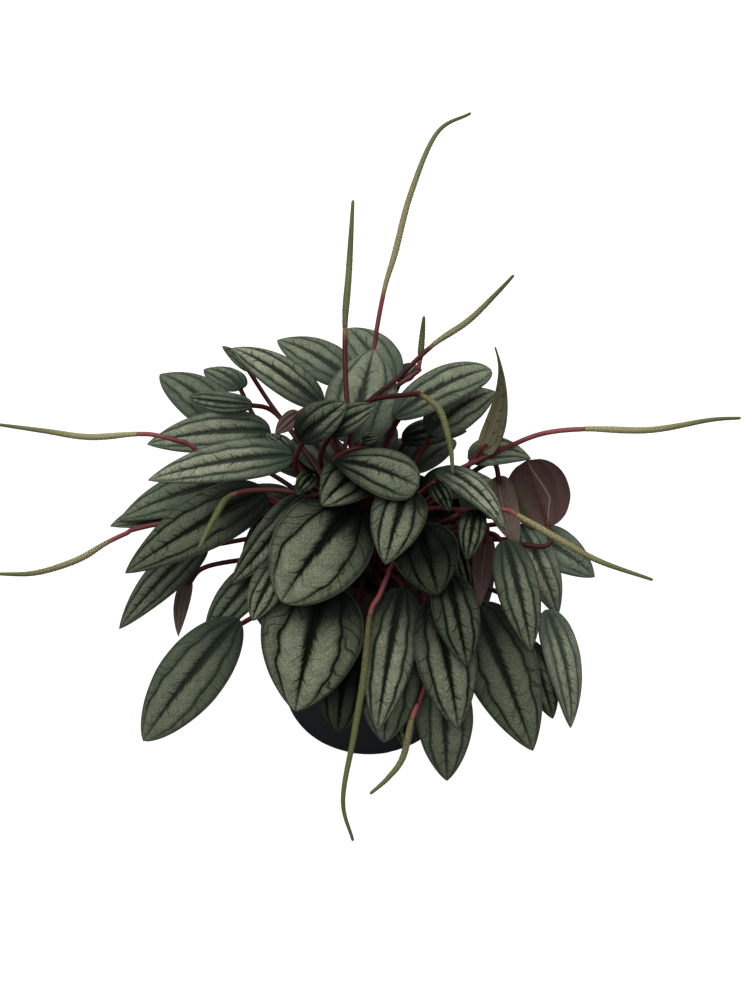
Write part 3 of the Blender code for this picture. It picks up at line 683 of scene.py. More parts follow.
class SharedMasks:
    """A node group that is built once, when a material first asks for it, and shared."""

    name: str
    labels: tuple[str, ...]
    sizes: dict[str, float]

    def masks(self, graph: Graph, **given: float) -> dict[str, Value]:
        """Places the group in a material and gives its outputs."""
        tree = bpy.data.node_groups.get(self.name) or self.build()
        node = graph.add("Group", given, node_tree=tree)
        return {socket.name: Value(graph, socket) for socket in node.outputs}

    def build(self) -> bpy.types.NodeTree:
        """Builds the node group with its number sockets."""
        tree = bpy.data.node_groups.new(self.name, "ShaderNodeTree")
        for label, value in self.sizes.items():
            socket = tree.interface.new_socket(label, in_out="INPUT", socket_type="NodeSocketFloat")
            socket.default_value = value
        for label in self.labels:
            tree.interface.new_socket(label, in_out="OUTPUT", socket_type="NodeSocketFloat")
        graph = Graph(tree)
        inputs = tree.nodes.new("NodeGroupInput").outputs
        out = tree.nodes.new("NodeGroupOutput")
        values = self.values(graph, {label: Value(graph, inputs[label]) for label in self.sizes})
        for label, value in zip(self.labels, values):
            graph.feed(out.inputs[label], value)
        return tree

    def values(self, graph: Graph, sizes: dict[str, Value]) -> tuple[Value, ...]:
        """Adds the group's own nodes.

        Args:
            graph: the group's nodes.
            sizes: the group's inputs by name.

        Returns:
            The value of each output, in the order of the labels.
        """
        raise NotImplementedError


class VeinPattern(SharedMasks):
    """The veins of a leaf, as masks over its face: shared by its two sides.

    The masks are the dark veins, their soft surround, thin cross veins, the margin, the streaks that
    run out from the veins, the band outside the side vein, the leaf's dark foot with painted shade that
    runs far up from it, painted shade in the dips along the veins and a painted shadow, near black,
    round the foot.
    """

    name: str = "Vein pattern"
    labels: tuple[str, ...] = (
        "Vein", "Surround", "Thread", "Margin", "Streak", "Outer", "Dark foot and painted shade", "Painted hollow shade", "Painted foot shadow",
    )
    sizes: dict[str, float] = {"Spread": 1.0}
    inset: float = 0.045
    wander: float = 0.09
    halves_apart: float = 9.0
    fine_streaks: tuple[float, float] = (15.0, 3.0)
    coarse_streaks: tuple[float, float] = (5.0, 1.2)
    # For the midrib and for the side veins: least and greatest width, the power by which it narrows,
    # how much the streaks tear it, and how many widths its surround reaches
    widths: tuple[tuple[float, ...], ...] = (
        (0.012, 0.2, 1.7, 1.6, 1.9), (0.013, 0.018, 0.8, 1.0, 2.4),
    )

    def values(self, graph: Graph, sizes: dict[str, Value]) -> tuple[Value, ...]:
        """Draws the masks from the blade's two maps and its seed."""
        across, along = graph.uv("Blade")
        reach, span = graph.uv("Size")
        away = abs(across * 2.0 - 1.0)
        half = graph.math("GREATER_THAN", across, 0.5)
        seed = graph.attribute("seed") * self.halves_apart + half
        bend = graph.noise(graph.vector(span, 0.0, seed), 1.0, 0.0) * self.wander
        offset = away - (bend + along ** VEIN_POWER * VEIN_SPREAD + (SIDE_VEIN - self.inset))
        inner = away * reach
        outer = abs(offset) * reach
        nearest = inner.at_most(outer)
        oblique = span - nearest
        streaks = [
            graph.noise(graph.vector(oblique * lengthwise, nearest * crosswise, seed), 1.0)
            for lengthwise, crosswise in (self.coarse_streaks, self.fine_streaks)
        ]
        ragged = (streaks[0] + streaks[1]) * 0.5
        inward = offset.rise(-0.04, 0.04, 1.3, 0.65)
        dark, soft = [], []
        for distance, turn, row in ((inner, 1.0, self.widths[0]), (outer, inward, self.widths[1])):
            least, most, power, torn_by, reach_out = row
            width = ((1.0 - along) ** power * most * reach + least) * sizes["Spread"]
            dark.append((distance / width - ragged * torn_by).rise(-0.8, 0.75, 1.0, 0.0))
            around = (width * reach_out + 0.05) * turn
            soft.append((distance / around - ragged * 0.35).rise(0.0, 0.8, 1.0, 0.0))
        fade = along.rise(0.7, 0.98, 1.0, 0.3)
        vein = dark[0].at_least(dark[1] * 0.95).at_least(self.spurs(graph, inner, span, seed)) * fade
        foot = (along + ragged * 0.14).rise(0.1, 0.4, 1.0, 0.0)
        brim = away.rise(0.86, 1.0, 0.0, 0.6)
        surround = (soft[0].at_least(soft[1]) * fade).at_least(foot.at_least(brim))
        thread = self.threads(graph, offset, outer, span, seed) * fade
        # Painted shade that darkens the leaf from its foot far up its length, over its own dark green
        # base.
        shade = (along + ragged * 0.1).rise(-0.05, 0.8, 1.0, 0.0)
        # A painted shadow, near black, round the foot, reaching as far as the leaf's mark says.
        sideways = inner / 6.0
        far = graph.math("SQRT", along * along + sideways * sideways) + ragged * 0.12
        edge = graph.attribute("dark_foot_and_shade")
        painted_foot_shadow = far.rise(edge * 0.45, edge, 0.96, 0.0)
        # Painted shade in the dips along the veins and beside the margin.
        painted_hollow_shade = away.rise(0.0, 0.2, 1.0, 0.0).at_least(abs(offset).rise(0.0, 0.17, 1.0, 0.0))
        painted_hollow_shade = painted_hollow_shade.at_least(away.rise(0.84, 0.98))
        band = offset.rise(0.0, 0.06)
        return vein, surround, thread, away.rise(0.95, 0.985), ragged, band, shade, painted_hollow_shade, painted_foot_shadow

    def spurs(self, graph: Graph, distance: Value, span: Value, seed: Value) -> Value:
        """The short dark veins that branch off the midrib at a slant and soon die out."""
        wander = graph.noise(graph.vector(span, distance, seed), 2.2, 1.0)
        phase = (span - distance * 0.9) * 1.7 + wander * 0.35
        length = graph.drawn(phase, seed, 7.0) * 0.45 + 0.1
        width = (1.0 - distance / length).at_least(0.0) * 0.13
        return (width - phase.off_centre()).rise(-0.02, 0.05, 0.0, 0.85)

    def threads(
        self, graph: Graph, offset: Value, distance: Value, span: Value, seed: Value,
    ) -> Value:
        """The thin veins that cross the bands, few and clear outside the side vein.

        Args:
            graph: the group's nodes.
            offset: the share of the half width from the side vein, above 0 outside it.
            distance: the distance from the side vein.
            span: the distance from the base.
            seed: a number that differs between the blade's halves.

        Returns:
            The mask of the threads.
        """
        wander = graph.noise(graph.vector(span, distance * 0.6, seed), 1.3, 1.0)
        phase = (span - distance * 0.9) * 1.5 + wander * 0.8
        line = phase.off_centre().rise(0.02, 0.1, 1.0, 0.0)
        clear = line * offset.rise(-0.02, 0.03, 0.12, 1.0) * graph.drawn(phase, seed).rise(0.2, 0.55)
        short = (phase * 2.7 + wander * 1.5).off_centre()
        return clear.at_least(short.rise(0.03, 0.22, 1.0, 0.0) * wander.rise(0.35, 0.8, 0.0, 0.35))


class Grain(SharedMasks):
    """Fine and coarse mottling of sizes in millimetres, shared by the stalks, the pot and the soil."""

    name: str = "Grain"
    labels: tuple[str, ...] = ("Fine", "Coarse")
    sizes: dict[str, float] = {"Fine": 0.5, "Coarse": 8.0}

    def values(self, graph: Graph, sizes: dict[str, Value]) -> tuple[Value, ...]:
        """Draws a fine and a coarse noise."""
        return tuple(
            graph.node("TexNoise", {"Vector": graph.place(), "Scale": 1 / MM / size}).rise(0.3, 0.7)
            for size in sizes.values()
        )


class Finish:
    """A material that is built once, when a piece first asks for it."""

    label: str

    def material(self) -> bpy.types.Material:
        """The finish's material."""
        found = bpy.data.materials.get(self.label)
        if found:
            return found
        material = bpy.data.materials.new(self.label)
        material.use_nodes = True
        graph = Graph(material.node_tree)
        shader = material.node_tree.nodes["Principled BSDF"]
        for key, value in self.sockets(graph).items():
            graph.feed(shader.inputs[key], value)
        return material

    def sockets(self, graph: Graph) -> dict[str, Term]:
        """Adds the finish's own nodes.

        Args:
            graph: the material's nodes.

        Returns:
            The term for each socket of the Principled BSDF that the finish sets.
        """
        raise NotImplementedError


@dataclass(frozen=True)
class LeafFace(Finish):
    """The upper face of a leaf: silver bands between dark feathered veins."""

    label: str = "leaf face"
    silver: Colour = (0.245, 0.266, 0.178)
    green: Colour = (0.02, 0.03, 0.017)
    deep_green: Colour = (0.0035, 0.0085, 0.003)
    vein: Colour = (0.001, 0.002, 0.001)
    # Colours that the dark parts are paled toward: partly a dull bloom, partly painted sheen and
    # reflected light.
    bloom_and_sheen_green: Colour = (0.056, 0.077, 0.054)
    bloom_and_sheen_vein: Colour = (0.024, 0.036, 0.025)
    rim: Colour = (0.085, 0.092, 0.07)
    red_rim: Colour = (0.1, 0.022, 0.02)

    def sockets(self, graph: Graph) -> dict[str, Term]:
        """Adds the bands, veins, speckle, margin and relief, with painted shade, painted glints and
        painted sheen.
        """
        veins = VeinPattern().masks(graph, Spread=1.0)
        place = graph.place()
        speckle = graph.noise(place, 2200.0, 1.0)
        # Painted glints: bright dots on the silver that stand in for highlights.
        painted_glint = graph.noise(place, 2600.0, 0.0).rise(0.55, 0.9)
        # How far the dark parts are paled and the sheen raised: partly a dull bloom on the outer
        # leaves, partly painted sheen and reflected light.
        dull_bloom_and_painted_sheen = graph.attribute("dull_bloom_and_painted_sheen")
        # The silver share is partly each leaf's own silvering and partly painted shade, lower on leaves
        # that lie in shadow.
        shine = graph.attribute("silver") * (1.0 - veins["Surround"])
        shine = shine * (1.1 - graph.noise(place, 130.0, 2.0) * 0.3) * (1.3 - veins["Streak"] * 0.7)
        # The band outside the side vein is darker in its own colour; the dips along the veins get
        # painted shade.
        shine = shine * (1.0 - veins["Outer"] * 0.4) * (1.0 - veins["Painted hollow shade"] * 0.55)
        # Painted shade from the foot over the leaf's own dark base, and a painted shadow near black
        # round the foot; paler outer leaves get less of both.
        dark_foot_and_shade = (veins["Dark foot and painted shade"] * (0.97 - dull_bloom_and_painted_sheen)).at_least(veins["Painted foot shadow"] * (1.0 - dull_bloom_and_painted_sheen))
        deep_green = graph.mix(dull_bloom_and_painted_sheen, self.deep_green, self.bloom_and_sheen_green)
        vein = graph.mix(dull_bloom_and_painted_sheen, self.vein, self.bloom_and_sheen_vein)
        ground = graph.mix(dull_bloom_and_painted_sheen, self.green, self.bloom_and_sheen_green)
        ground = graph.mix(veins["Surround"] * 0.95, ground, deep_green)
        band = graph.mix(shine, ground, self.silver)
        grain = speckle * 0.8 + 0.51 + painted_glint * 0.35
        grey = graph.node("CombineColor", {0: grain, 1: grain, 2: grain})
        band = graph.mix(1.0, band, grey, "MULTIPLY")
        band = graph.mix(veins["Thread"] * 0.75, band, deep_green)
        colour = graph.mix(veins["Vein"] * 0.92, band, vein)
        colour = graph.mix(dark_foot_and_shade, colour, vein)
        rim = graph.mix(graph.attribute("redness").rise(0.5, 0.7), self.rim, self.red_rim)
        height = speckle * 0.12 - veins["Vein"] - veins["Thread"] * 0.6 - veins["Streak"] * 0.5
        return {
            # The pale margin is dimmed under the painted shade.
            "Base Color": graph.mix(veins["Margin"] * (0.75 - dark_foot_and_shade * 0.5), colour, rim),
            "Roughness": speckle * 0.15 + 0.42,
            "Specular IOR Level": dull_bloom_and_painted_sheen * 0.12 + 0.03,
            "Normal": graph.bump(height, 0.3 * MM, 0.7),
        }


@dataclass(frozen=True)
class LeafUnderside(Finish):
    """The underside of a leaf: dull olive to wine brown, with its veins standing out."""

    label: str = "leaf underside"
    olive: Colour = (0.082, 0.085, 0.043)
    wine: Colour = (0.062, 0.033, 0.03)
    vein: Colour = (0.035, 0.008, 0.008)
    midrib: Colour = (0.18, 0.15, 0.12)
    moss: Colour = (0.04, 0.052, 0.02)
    # A paler colour that lifts some undersides as painted light.
    paler_tone: Colour = (0.17, 0.13, 0.11)

    def sockets(self, graph: Graph) -> dict[str, Term]:
        """Adds the mottling, the veins, the pale midrib and painted light that pales some undersides.
        """
        veins = VeinPattern().masks(graph, Spread=0.45)
        place = graph.place()
        fine = graph.noise(place, 900.0, 2.0)
        share = (graph.attribute("redness") + graph.noise(place, 150.0, 3.0) * 0.5).rise(0.3, 1.1)
        colour = graph.mix(share, self.olive, self.wine)
        tracery = veins["Vein"].at_least(veins["Thread"])
        colour = graph.mix(tracery * 0.7, colour, self.vein)
        across, along = graph.uv("Blade")
        bent = graph.attribute("bend")
        patch = graph.noise(place, 140.0, 1.0).rise(0.5, 0.8) * bent * across.rise(0.6, 0.72, 0.0, 0.7)
        colour = graph.mix(patch, colour, self.moss)
        # Painted light: pales the underside of the leaves marked for it.
        colour = graph.mix(graph.attribute("dull_bloom_and_painted_sheen") * 0.5, colour, self.paler_tone)
        kink = (along / 0.36).at_most((1.0 - along) / 0.64) * bent
        away = abs(across - (0.5 - kink * 0.17))
        return {
            "Base Color": graph.mix(away.rise(0.006, 0.02, 0.8, 0.0), colour, self.midrib),
            "Roughness": fine * 0.15 + 0.45,
            "Specular IOR Level": 0.1,
            "Normal": graph.bump(fine * 0.2 + tracery, 0.2 * MM, 0.5),
        }


@dataclass(frozen=True)
class StalkSkin(Finish):
    """The juicy skin of a stalk, deep maroon at the crown and paler where it ends: partly its own
    colour, partly painted shade near the crown.
    """

    label: str
    low: Colour
    high: Colour
    fleck: Colour = (0.08, 0.035, 0.022)
    collar: Colour = (0.16, 0.09, 0.045)

    def sockets(self, graph: Graph) -> dict[str, Term]:
        """Adds the change along the stalk, which is partly painted shade toward the crown, its flecks
        and its faint lengthwise ridges.
        """
        grain = Grain().masks(graph, Fine=0.6, Coarse=9.0)
        round_it, along = graph.uv("Length")
        # From dark at the crown to pale at the end: partly the stalk's own colour, partly painted shade
        # near the crown.
        change = (along * 0.9 + grain["Coarse"] * 0.25).rise(0.25, 1.0)
        colour = graph.mix(change, self.low, self.high)
        colour = graph.mix(along.rise(0.93, 1.0, 0.0, 0.85), colour, self.collar)
        ridges = graph.math("SINE", round_it * (2 * math.pi * 9))
        return {
            "Base Color": graph.mix(grain["Fine"].rise(0.7, 1.0) * 0.25, colour, self.fleck),
            "Roughness": grain["Fine"] * 0.15 + 0.36,
            "Specular IOR Level": 0.12,
            "Normal": graph.bump(ridges * 0.3 + grain["Fine"], 0.08 * MM, 0.5),
        }


@dataclass(frozen=True)
class SpadixSkin(Finish):
    """The beads of a flower spike, beige or orange where ripe and green toward the tip."""

    label: str = "spadix beads"
    green: Colour = (0.085, 0.112, 0.032)
    ripe: Colour = (0.36, 0.32, 0.17)
    # The gap colour is painted shade between the beads; the crest colour is a painted highlight on
    # their tops.
    gap: Colour = (0.035, 0.032, 0.012)
    crest: Colour = (0.5, 0.46, 0.25)
    brown: Colour = (0.05, 0.038, 0.016)

    def sockets(self, graph: Graph) -> dict[str, Term]:
        """Adds the ripeness along the spike, painted shade between the beads and a painted highlight on
        their tops.
        """
        grain = Grain().masks(graph, Fine=0.45, Coarse=6.0)
        along = graph.uv("Length")[1]
        height = graph.uv("Relief")[0]
        ripeness = graph.attribute("ripeness")
        share = ripeness * (1.0 - along.rise(0.1, 1.0)) + grain["Coarse"] * 0.12
        colour = graph.mix(share, self.green, self.ripe)
        late = (1.0 - ripeness) * along.rise(0.0, 0.5, 0.75, 0.0)
        colour = graph.mix(late, colour, self.brown)
        colour = graph.mix(grain["Fine"] * 0.2, colour, self.gap)
        # A painted highlight on the bead tops, fading toward the tip.
        crest = height.rise(0.7, 1.1, 0.0, 0.5) * along.rise(0.1, 0.8, 1.0, 0.0)
        colour = graph.mix(crest, colour, self.crest)
        return {
            # Painted shade in the low skin between the beads.
            "Base Color": graph.mix(height.rise(0.15, 0.7, 0.85, 0.0), colour, self.gap),
            "Roughness": grain["Fine"] * 0.2 + 0.4,
            "Specular IOR Level": 0.12,
            "Normal": graph.bump(grain["Fine"], 0.12 * MM, 0.5),
        }


@dataclass(frozen=True)
class PotPlastic(Finish):
    """Dark blue-black moulded plastic with a fine matte grain and a little dust."""

    label: str = "pot plastic"
    colour: Colour = (0.019, 0.0225, 0.0255)
    # The paler tone of a little dust.
    paler_tone: Colour = (0.032, 0.0345, 0.036)

    def sockets(self, graph: Graph) -> dict[str, Term]:
        """Adds the grain and the uneven dust."""
        grain = Grain().masks(graph, Fine=0.35, Coarse=14.0)
        return {
            "Base Color": graph.mix(grain["Coarse"] * 0.4, self.colour, self.paler_tone),
            "Roughness": grain["Coarse"] * 0.15 + 0.48,
            "Specular IOR Level": 0.08,
            "Normal": graph.bump(grain["Fine"], 0.05 * MM, 0.4),
        }


@dataclass(frozen=True)
class PeatSurface(Finish):
    """Moist peat with crumbs from near black to brown."""

    label: str = "peat"
    dark: Colour = (0.008, 0.006, 0.004)
    brown: Colour = (0.06, 0.036, 0.02)

    def sockets(self, graph: Graph) -> dict[str, Term]:
        """Adds the crumbs' colours and relief."""
        grain = Grain().masks(graph, Fine=0.9, Coarse=5.0)
        return {
            "Base Color": graph.mix(grain["Fine"] * grain["Coarse"], self.dark, self.brown),
            "Roughness": 0.95 - grain["Coarse"] * 0.2,
            "Specular IOR Level": 0.2,
            "Normal": graph.bump(grain["Fine"], 0.5 * MM, 0.8),
        }


@dataclass(frozen=True)
class StudioFloor(Finish):
    """The plain floor, white to the camera and dim to everything that it would light from below."""

    label: str = "studio floor"
    colour: Colour = (0.16, 0.16, 0.16)

    def sockets(self, graph: Graph) -> dict[str, Term]:
        """Sets a matte white with the faintest unevenness."""
        return {
            "Base Color": self.colour,
            "Roughness": graph.noise(graph.place(), 3.0) * 0.05 + 0.9,
            "Specular IOR Level": 0.0,
            "Emission Color": (1.0, 1.0, 1.0),
            "Emission Strength": graph.seen(),
        }


class StalkKind(Enum):
    """The two kinds of stalk and their finishes."""

    # Low colours are for the crown end, where painted shade darkens them; high colours for the far end.
    PETIOLE = StalkSkin("leaf stalk skin", (0.011, 0.003, 0.003), (0.052, 0.0095, 0.0085))
    PEDUNCLE = StalkSkin("spike stalk skin", (0.05, 0.008, 0.011), (0.2, 0.05, 0.056))


@dataclass
class Blade:
    """The curved, quilted blade of one leaf, in millimetres."""

    name: str
    base: Vector
    tip: Vector
    half_width: float
    roll: float
    fold: float
    arch: float
    facing: Vector
    outline: tuple[float, float]
    thickness: float = 1.0
    edge_droop: float = 0.22
    pillows: tuple[float, ...] = (1.3, 0.8)
    waviness: float = 0.025
    unevenness: float = 0.22
    cell: float = 0.75
    edge_thinning: float = 0.5
    joints: tuple[float, ...] = (0.08, 0.2, 0.32)
    tilts: tuple[float, ...] = (40, 65, 20, 80)
    upturned_tilts: tuple[float, ...] = (80, 65, 40, 20)
    normal: Vector = field(init=False)
    side: Vector = field(init=False)
    seed: float = field(init=False)

    def __post_init__(self) -> None:
        """Works out the directions that the blade faces and spreads."""
        chord = (self.tip - self.base).normalized()
        normal = (self.facing - chord * self.facing.dot(chord)).normalized()
        self.normal = Matrix.Rotation(math.radians(self.roll), 3, chord) @ normal
        self.side = chord.cross(self.normal)
        self.seed = random.Random(self.name).random()

    def reach(self, along: float) -> float:
        """Half the blade's width at a share of its length."""
        if not 0 < along < 1:
            return 0.0
        rounding, taper = self.outline
        widest = rounding / (rounding + taper)
        swell = (along / widest) ** rounding
        return self.half_width * swell * ((1 - along) / (1 - widest)) ** taper

    def pillow(self, along: float, across: float) -> float:
        """How far the blade swells between its veins.

        Args:
            along: the share of the length from the base.
            across: the share of the half width, either side.

        Returns:
            The height in millimetres at the blade's full width.
        """
        away = abs(across)
        veins = (0.0, SIDE_VEIN + VEIN_SPREAD * along ** VEIN_POWER, 1.0)
        for inner, outer, depth in zip(veins, veins[1:], self.pillows):
            if away <= outer:
                share = (away - inner) / (outer - inner)
                swell = 1 - abs(2 * share - 1) ** 2.2
                spot = Vector((along * 9, across * 3, self.seed * 50))
                return swell * (depth * (1.15 - 0.4 * along) + self.unevenness * noise.noise(spot))
        return 0.0

    def point(self, along: float, across: float) -> Vector:
        """A point of the upper face: along from base to tip, across from -1 to 1."""
        reach = self.reach(along)
        hand = 1.7 if across < 0 else 0.0
        wave = noise.noise(Vector((along * 5, hand, self.seed * 80)))
        spread = reach * (1 + self.waviness * wave)
        fold = math.tan(math.radians(self.fold))
        lift = reach * (fold * abs(across) - self.edge_droop * across * across)
        lift += self.pillow(along, across) * reach / self.half_width
        rise = 4 * self.arch * along * (1 - along)
        spine = self.base.lerp(self.tip, along)
        return spine + self.side * (across * spread) + self.normal * (rise + lift)

    def arrivals(self, radius: float, gap: float) -> Iterator[tuple[Vector, Vector, Vector]]:
        """Where a stalk can join the blade.

        Args:
            radius: the stalk's radius.
            gap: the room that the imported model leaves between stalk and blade.

        Yields:
            The stalk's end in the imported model, its direction there, and the joint inside the blade.
        """
        for share in self.joints:
            slope = 4 * self.arch * (1 - 2 * share)
            tangent = (self.tip - self.base + self.normal * slope).normalized()
            outward = (self.normal - tangent * self.normal.dot(tangent)).normalized()
            rise = 4 * self.arch * share * (1 - share)
            spine = self.base.lerp(self.tip, share) + self.normal * rise
            under = spine - self.normal * self.thickness
            for degrees in self.upturned_tilts if self.roll > 90 else self.tilts:
                tilt = math.radians(degrees)
                direction = outward * math.cos(tilt) + tangent * math.sin(tilt)
                end = under - outward * (gap + radius * math.sin(tilt))
                yield end, direction, spine - self.normal * self.thickness * 0.8

    def solid(self, finer: float) -> bmesh.types.BMesh:
        """The closed blade, its two sides mapped and marked.

        Args:
            finer: the cell size as a share of the plain one, above 1 for a coarser blade.

        Returns:
            The blade, with material 0 on its face and rim and 1 underneath.
        """
        length = (self.tip - self.base).length
        wide = 2 * max(8, round(self.half_width / self.cell / finer))
        long = max(12, round(length / self.cell / 1.5 / finer))
        columns = [2 * k / wide - 1 for k in range(wide + 1)]
        rows = [(k / long) ** 1.15 for k in range(long + 1)]
        maps = {
            "Blade": lambda across, along: (across / 2 + 0.5, along),
            "Size": lambda across, along: (self.reach(along) / 10, along * length / 10),
        }
        bm = shaped_grid(columns, rows, lambda across, along: self.point(along, across), maps)
        layer = bm.verts.layers.float.new("away")
        for k, vert in enumerate(bm.verts):
            vert[layer] = abs(columns[k % len(columns)])
        bmesh.ops.remove_doubles(bm, verts=bm.verts, dist=MERGE_DISTANCE)
        extruded = bmesh.ops.extrude_face_region(bm, geom=bm.faces[:])["geom"]
        lower = {item for item in extruded if isinstance(item, bmesh.types.BMVert)}
        for vert in lower:
            thin = 1 - self.edge_thinning * vert[layer] ** 4
            vert.co -= self.normal * self.thickness * thin
        for face in bm.faces:
            face.material_index = 1 if all(vert in lower for vert in face.verts) else 0
        bmesh.ops.recalc_face_normals(bm, faces=bm.faces)
        mark(bm, "seed", self.seed)
        look = OWN_LOOKS.get(self.name, PLAIN_LOOK)
        # The marks: silver share, partly painted shade; pale darks, partly painted sheen; reach of the
        # painted foot shade; redness.
        for label, value in zip(("silver", "dull_bloom_and_painted_sheen", "dark_foot_and_shade", "redness"), look):
            mark(bm, label, value)
        mark(bm, "bend", 1.0 if self.name in BENT_MIDRIBS else 0.0)
        return bm


@dataclass
class Spike:
    """A flower spike, in millimetres: a red stalk and a slender beaded spadix."""

    name: str
    stalk: list[Vector]
    spadix: list[Vector]
    steps: int = 12
    radius: float = 1.65
    tip_radius: float = 0.72
    taper: float = 2.2
    ring_pitch: float = 0.34
    rings_per_bead: int = 4
    beads_round: int = 6
    bead_sides: int = 24
    bead_height: float = 0.34
    tallest_bead: float = 1.25
    foot_share: float = 0.57
    foot_rise: float = 0.2
    foot_length: float = 0.22
    nose_rings: int = 3

    def line(self) -> list[Vector]:
        """The whole visible line of the spike, densely sampled."""
        points = self.stalk + self.spadix
        return smooth_path(points, self.steps * (len(points) - 1))

    def split(self) -> tuple[list[Vector], list[Vector]]:
        """The dense line of the stalk and that of the spadix."""
        line = self.line()
        end = self.steps * (len(self.stalk) - 1)
        return line[:end + 1], line[end:]

    def beaded(self) -> bmesh.types.BMesh:
        """The tapering spadix with its staggered beads."""
        path = even_path(self.split()[1], self.ring_pitch)
        last = len(path) - 1
        radii = []
        for k in range(last + 1):
            body = self.tip_radius + (self.radius - self.tip_radius) * (1 - (k / last) ** self.taper)
            foot = self.foot_share + self.foot_rise * smooth_step(0, self.foot_length, k / last)
            into_nose = max(0, k - last + self.nose_rings) / (self.nose_rings + 0.2)
            nose = math.sqrt(max(0.0, 1 - into_nose ** 2))
            radii.append(body * foot * nose)

        def relief(angle: float, ring: int) -> float:
            """How high the skin stands: staggered beads, uneven and fading toward the tip."""
            place = Vector((2.2 * math.cos(angle), 2.2 * math.sin(angle), ring * 0.33))
            shift = 1.1 * noise.noise(place * 0.6)
            wave = math.cos(self.beads_round * angle + shift)
            wave *= math.cos(2 * math.pi * ring / self.rings_per_bead + 1.6 * shift)
            size = 1 + 0.9 * noise.noise(place + Vector((7, 3, 1)))
            fade = 1 - 0.75 * smooth_step(0.45, 1.0, ring / last)
            return min(self.tallest_bead, max(0.0, 0.5 + 0.5 * wave * size * fade))

        bm = swept(path, radii, self.bead_sides, relief, self.bead_height)
        mark(bm, "ripeness", OWN_RIPENESS.get(self.name, PLAIN_RIPENESS))
        return bm


@dataclass
class StalkFinder:
    """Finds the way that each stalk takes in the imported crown."""

    crown_radius: float = 12.0
    soil_crest: float = 91.0
    starts: tuple[float, float] = (0.85, 0.2)
    heights: tuple[float, float] = (110, 180)
    sways: tuple[float, ...] = (0, 8, -8, 16, -16, 26, -26, 38, -38)
    rises: tuple[float, ...] = (0.35, 0.6, 0.15, 0.8, 1.0, 1.3)
    bends: tuple[float, ...] = (0.25, 0.12, 0.45, 0.65)
    turns: tuple[float, ...] = (0, 0.25, -0.25, 0.5, -0.5)
    upper_sway: float = 0.6
    straight_end: float = 0.2
    segments: int = 4
    tests: tuple[float, ...] = (1.0, 2.0, 2.5, 3.0, 3.5)
    deep_enough: float = 0.72
    crown: BVHTree = field(init=False)

    def __post_init__(self) -> None:
        """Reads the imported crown."""
        self.crown = node_tree("crown")

    def start(self, end: Vector) -> tuple[Vector, Vector]:
        """Where a stalk leaves the crown, and its direction outward from the middle."""
        out = Vector((end.x, end.y, 0))
        out = out.normalized() if out.length > 1 else Vector((0, 1, 0))
        low, high = self.heights
        outer, inner = self.starts
        share = min(1, max(0, (end.z - low) / (high - low)))
        radius = self.crown_radius * (outer + (inner - outer) * share)
        return out * radius + Vector((0, 0, self.soil_crest)), out

    def routes(self, end: Vector, approach: Vector) -> Iterator[list[Vector]]:
        """Curves from the crown to a point, the plainest first.

        Args:
            end: the stalk's end.
            approach: its direction there.

        Yields:
            The points of each curve.
        """
        start, out = self.start(end)
        sideways = Vector((-out.y, out.x, 0))
        span = (end - start).length
        for sway in self.sways:
            for rise in self.rises:
                for bend in self.bends:
                    first = start + Vector((0, 0, span * rise)) + sideways * sway
                    last = end - approach * span * bend + sideways * sway * self.upper_sway
                    path = []
                    for k in range(self.segments + 1):
                        t = k / self.segments
                        u = 1 - t
                        path.append(
                            start * u ** 3 + first * 3 * u * u * t + last * 3 * u * t * t + end * t ** 3
                        )
                    path[-2] = path[-2].lerp(end - approach * span * self.straight_end, 0.5)
                    yield path

    def depth_inside(self, path: list[Vector]) -> float:
        """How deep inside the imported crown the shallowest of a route's tested points lies."""
        least = math.inf
        for test in self.tests:
            k = int(test)
            spot = path[k].lerp(path[min(k + 1, self.segments)], test - k)
            surface, normal, _, distance = self.crown.find_nearest(spot)
            outside = (spot - surface).dot(normal) > 0
            least = min(least, -distance if outside else distance)
            if least < 0:
                break
        return least

    def route(
        self, arrivals: Iterator[tuple[Vector, Vector, Vector]], radius: float,
    ) -> tuple[list[Vector], Vector]:
        """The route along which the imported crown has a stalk.

        Args:
            arrivals: the ends and directions that are possible, and the joint that goes with each.
            radius: the stalk's radius.

        Returns:
            The route's points and its joint.
        """
        best = None
        for end, approach, joint in arrivals:
            for path in self.routes(end, approach):
                depth = self.depth_inside(path)
                if best is None or depth > best[0]:
                    best = (depth, path, joint)
                if depth > radius * self.deep_enough:
                    return path, joint
        LOG.info("a stalk has its centre only %.2f mm inside the packed crown", best[0])
        return best[1], best[2]

    def spike_arrivals(self, visible: list[Vector]) -> Iterator[tuple[Vector, Vector, Vector]]:
        """The start of a spike's visible stalk and the directions that its hidden part can have."""
        ahead = (visible[1] - visible[0]).normalized()
        sideways = ahead.cross(Vector((0, 0, 1))).normalized()
        for across in self.turns:
            for up in self.turns:
                aim = ahead + sideways * across + Vector((0, 0, up))
                yield visible[0], aim.normalized(), visible[0]


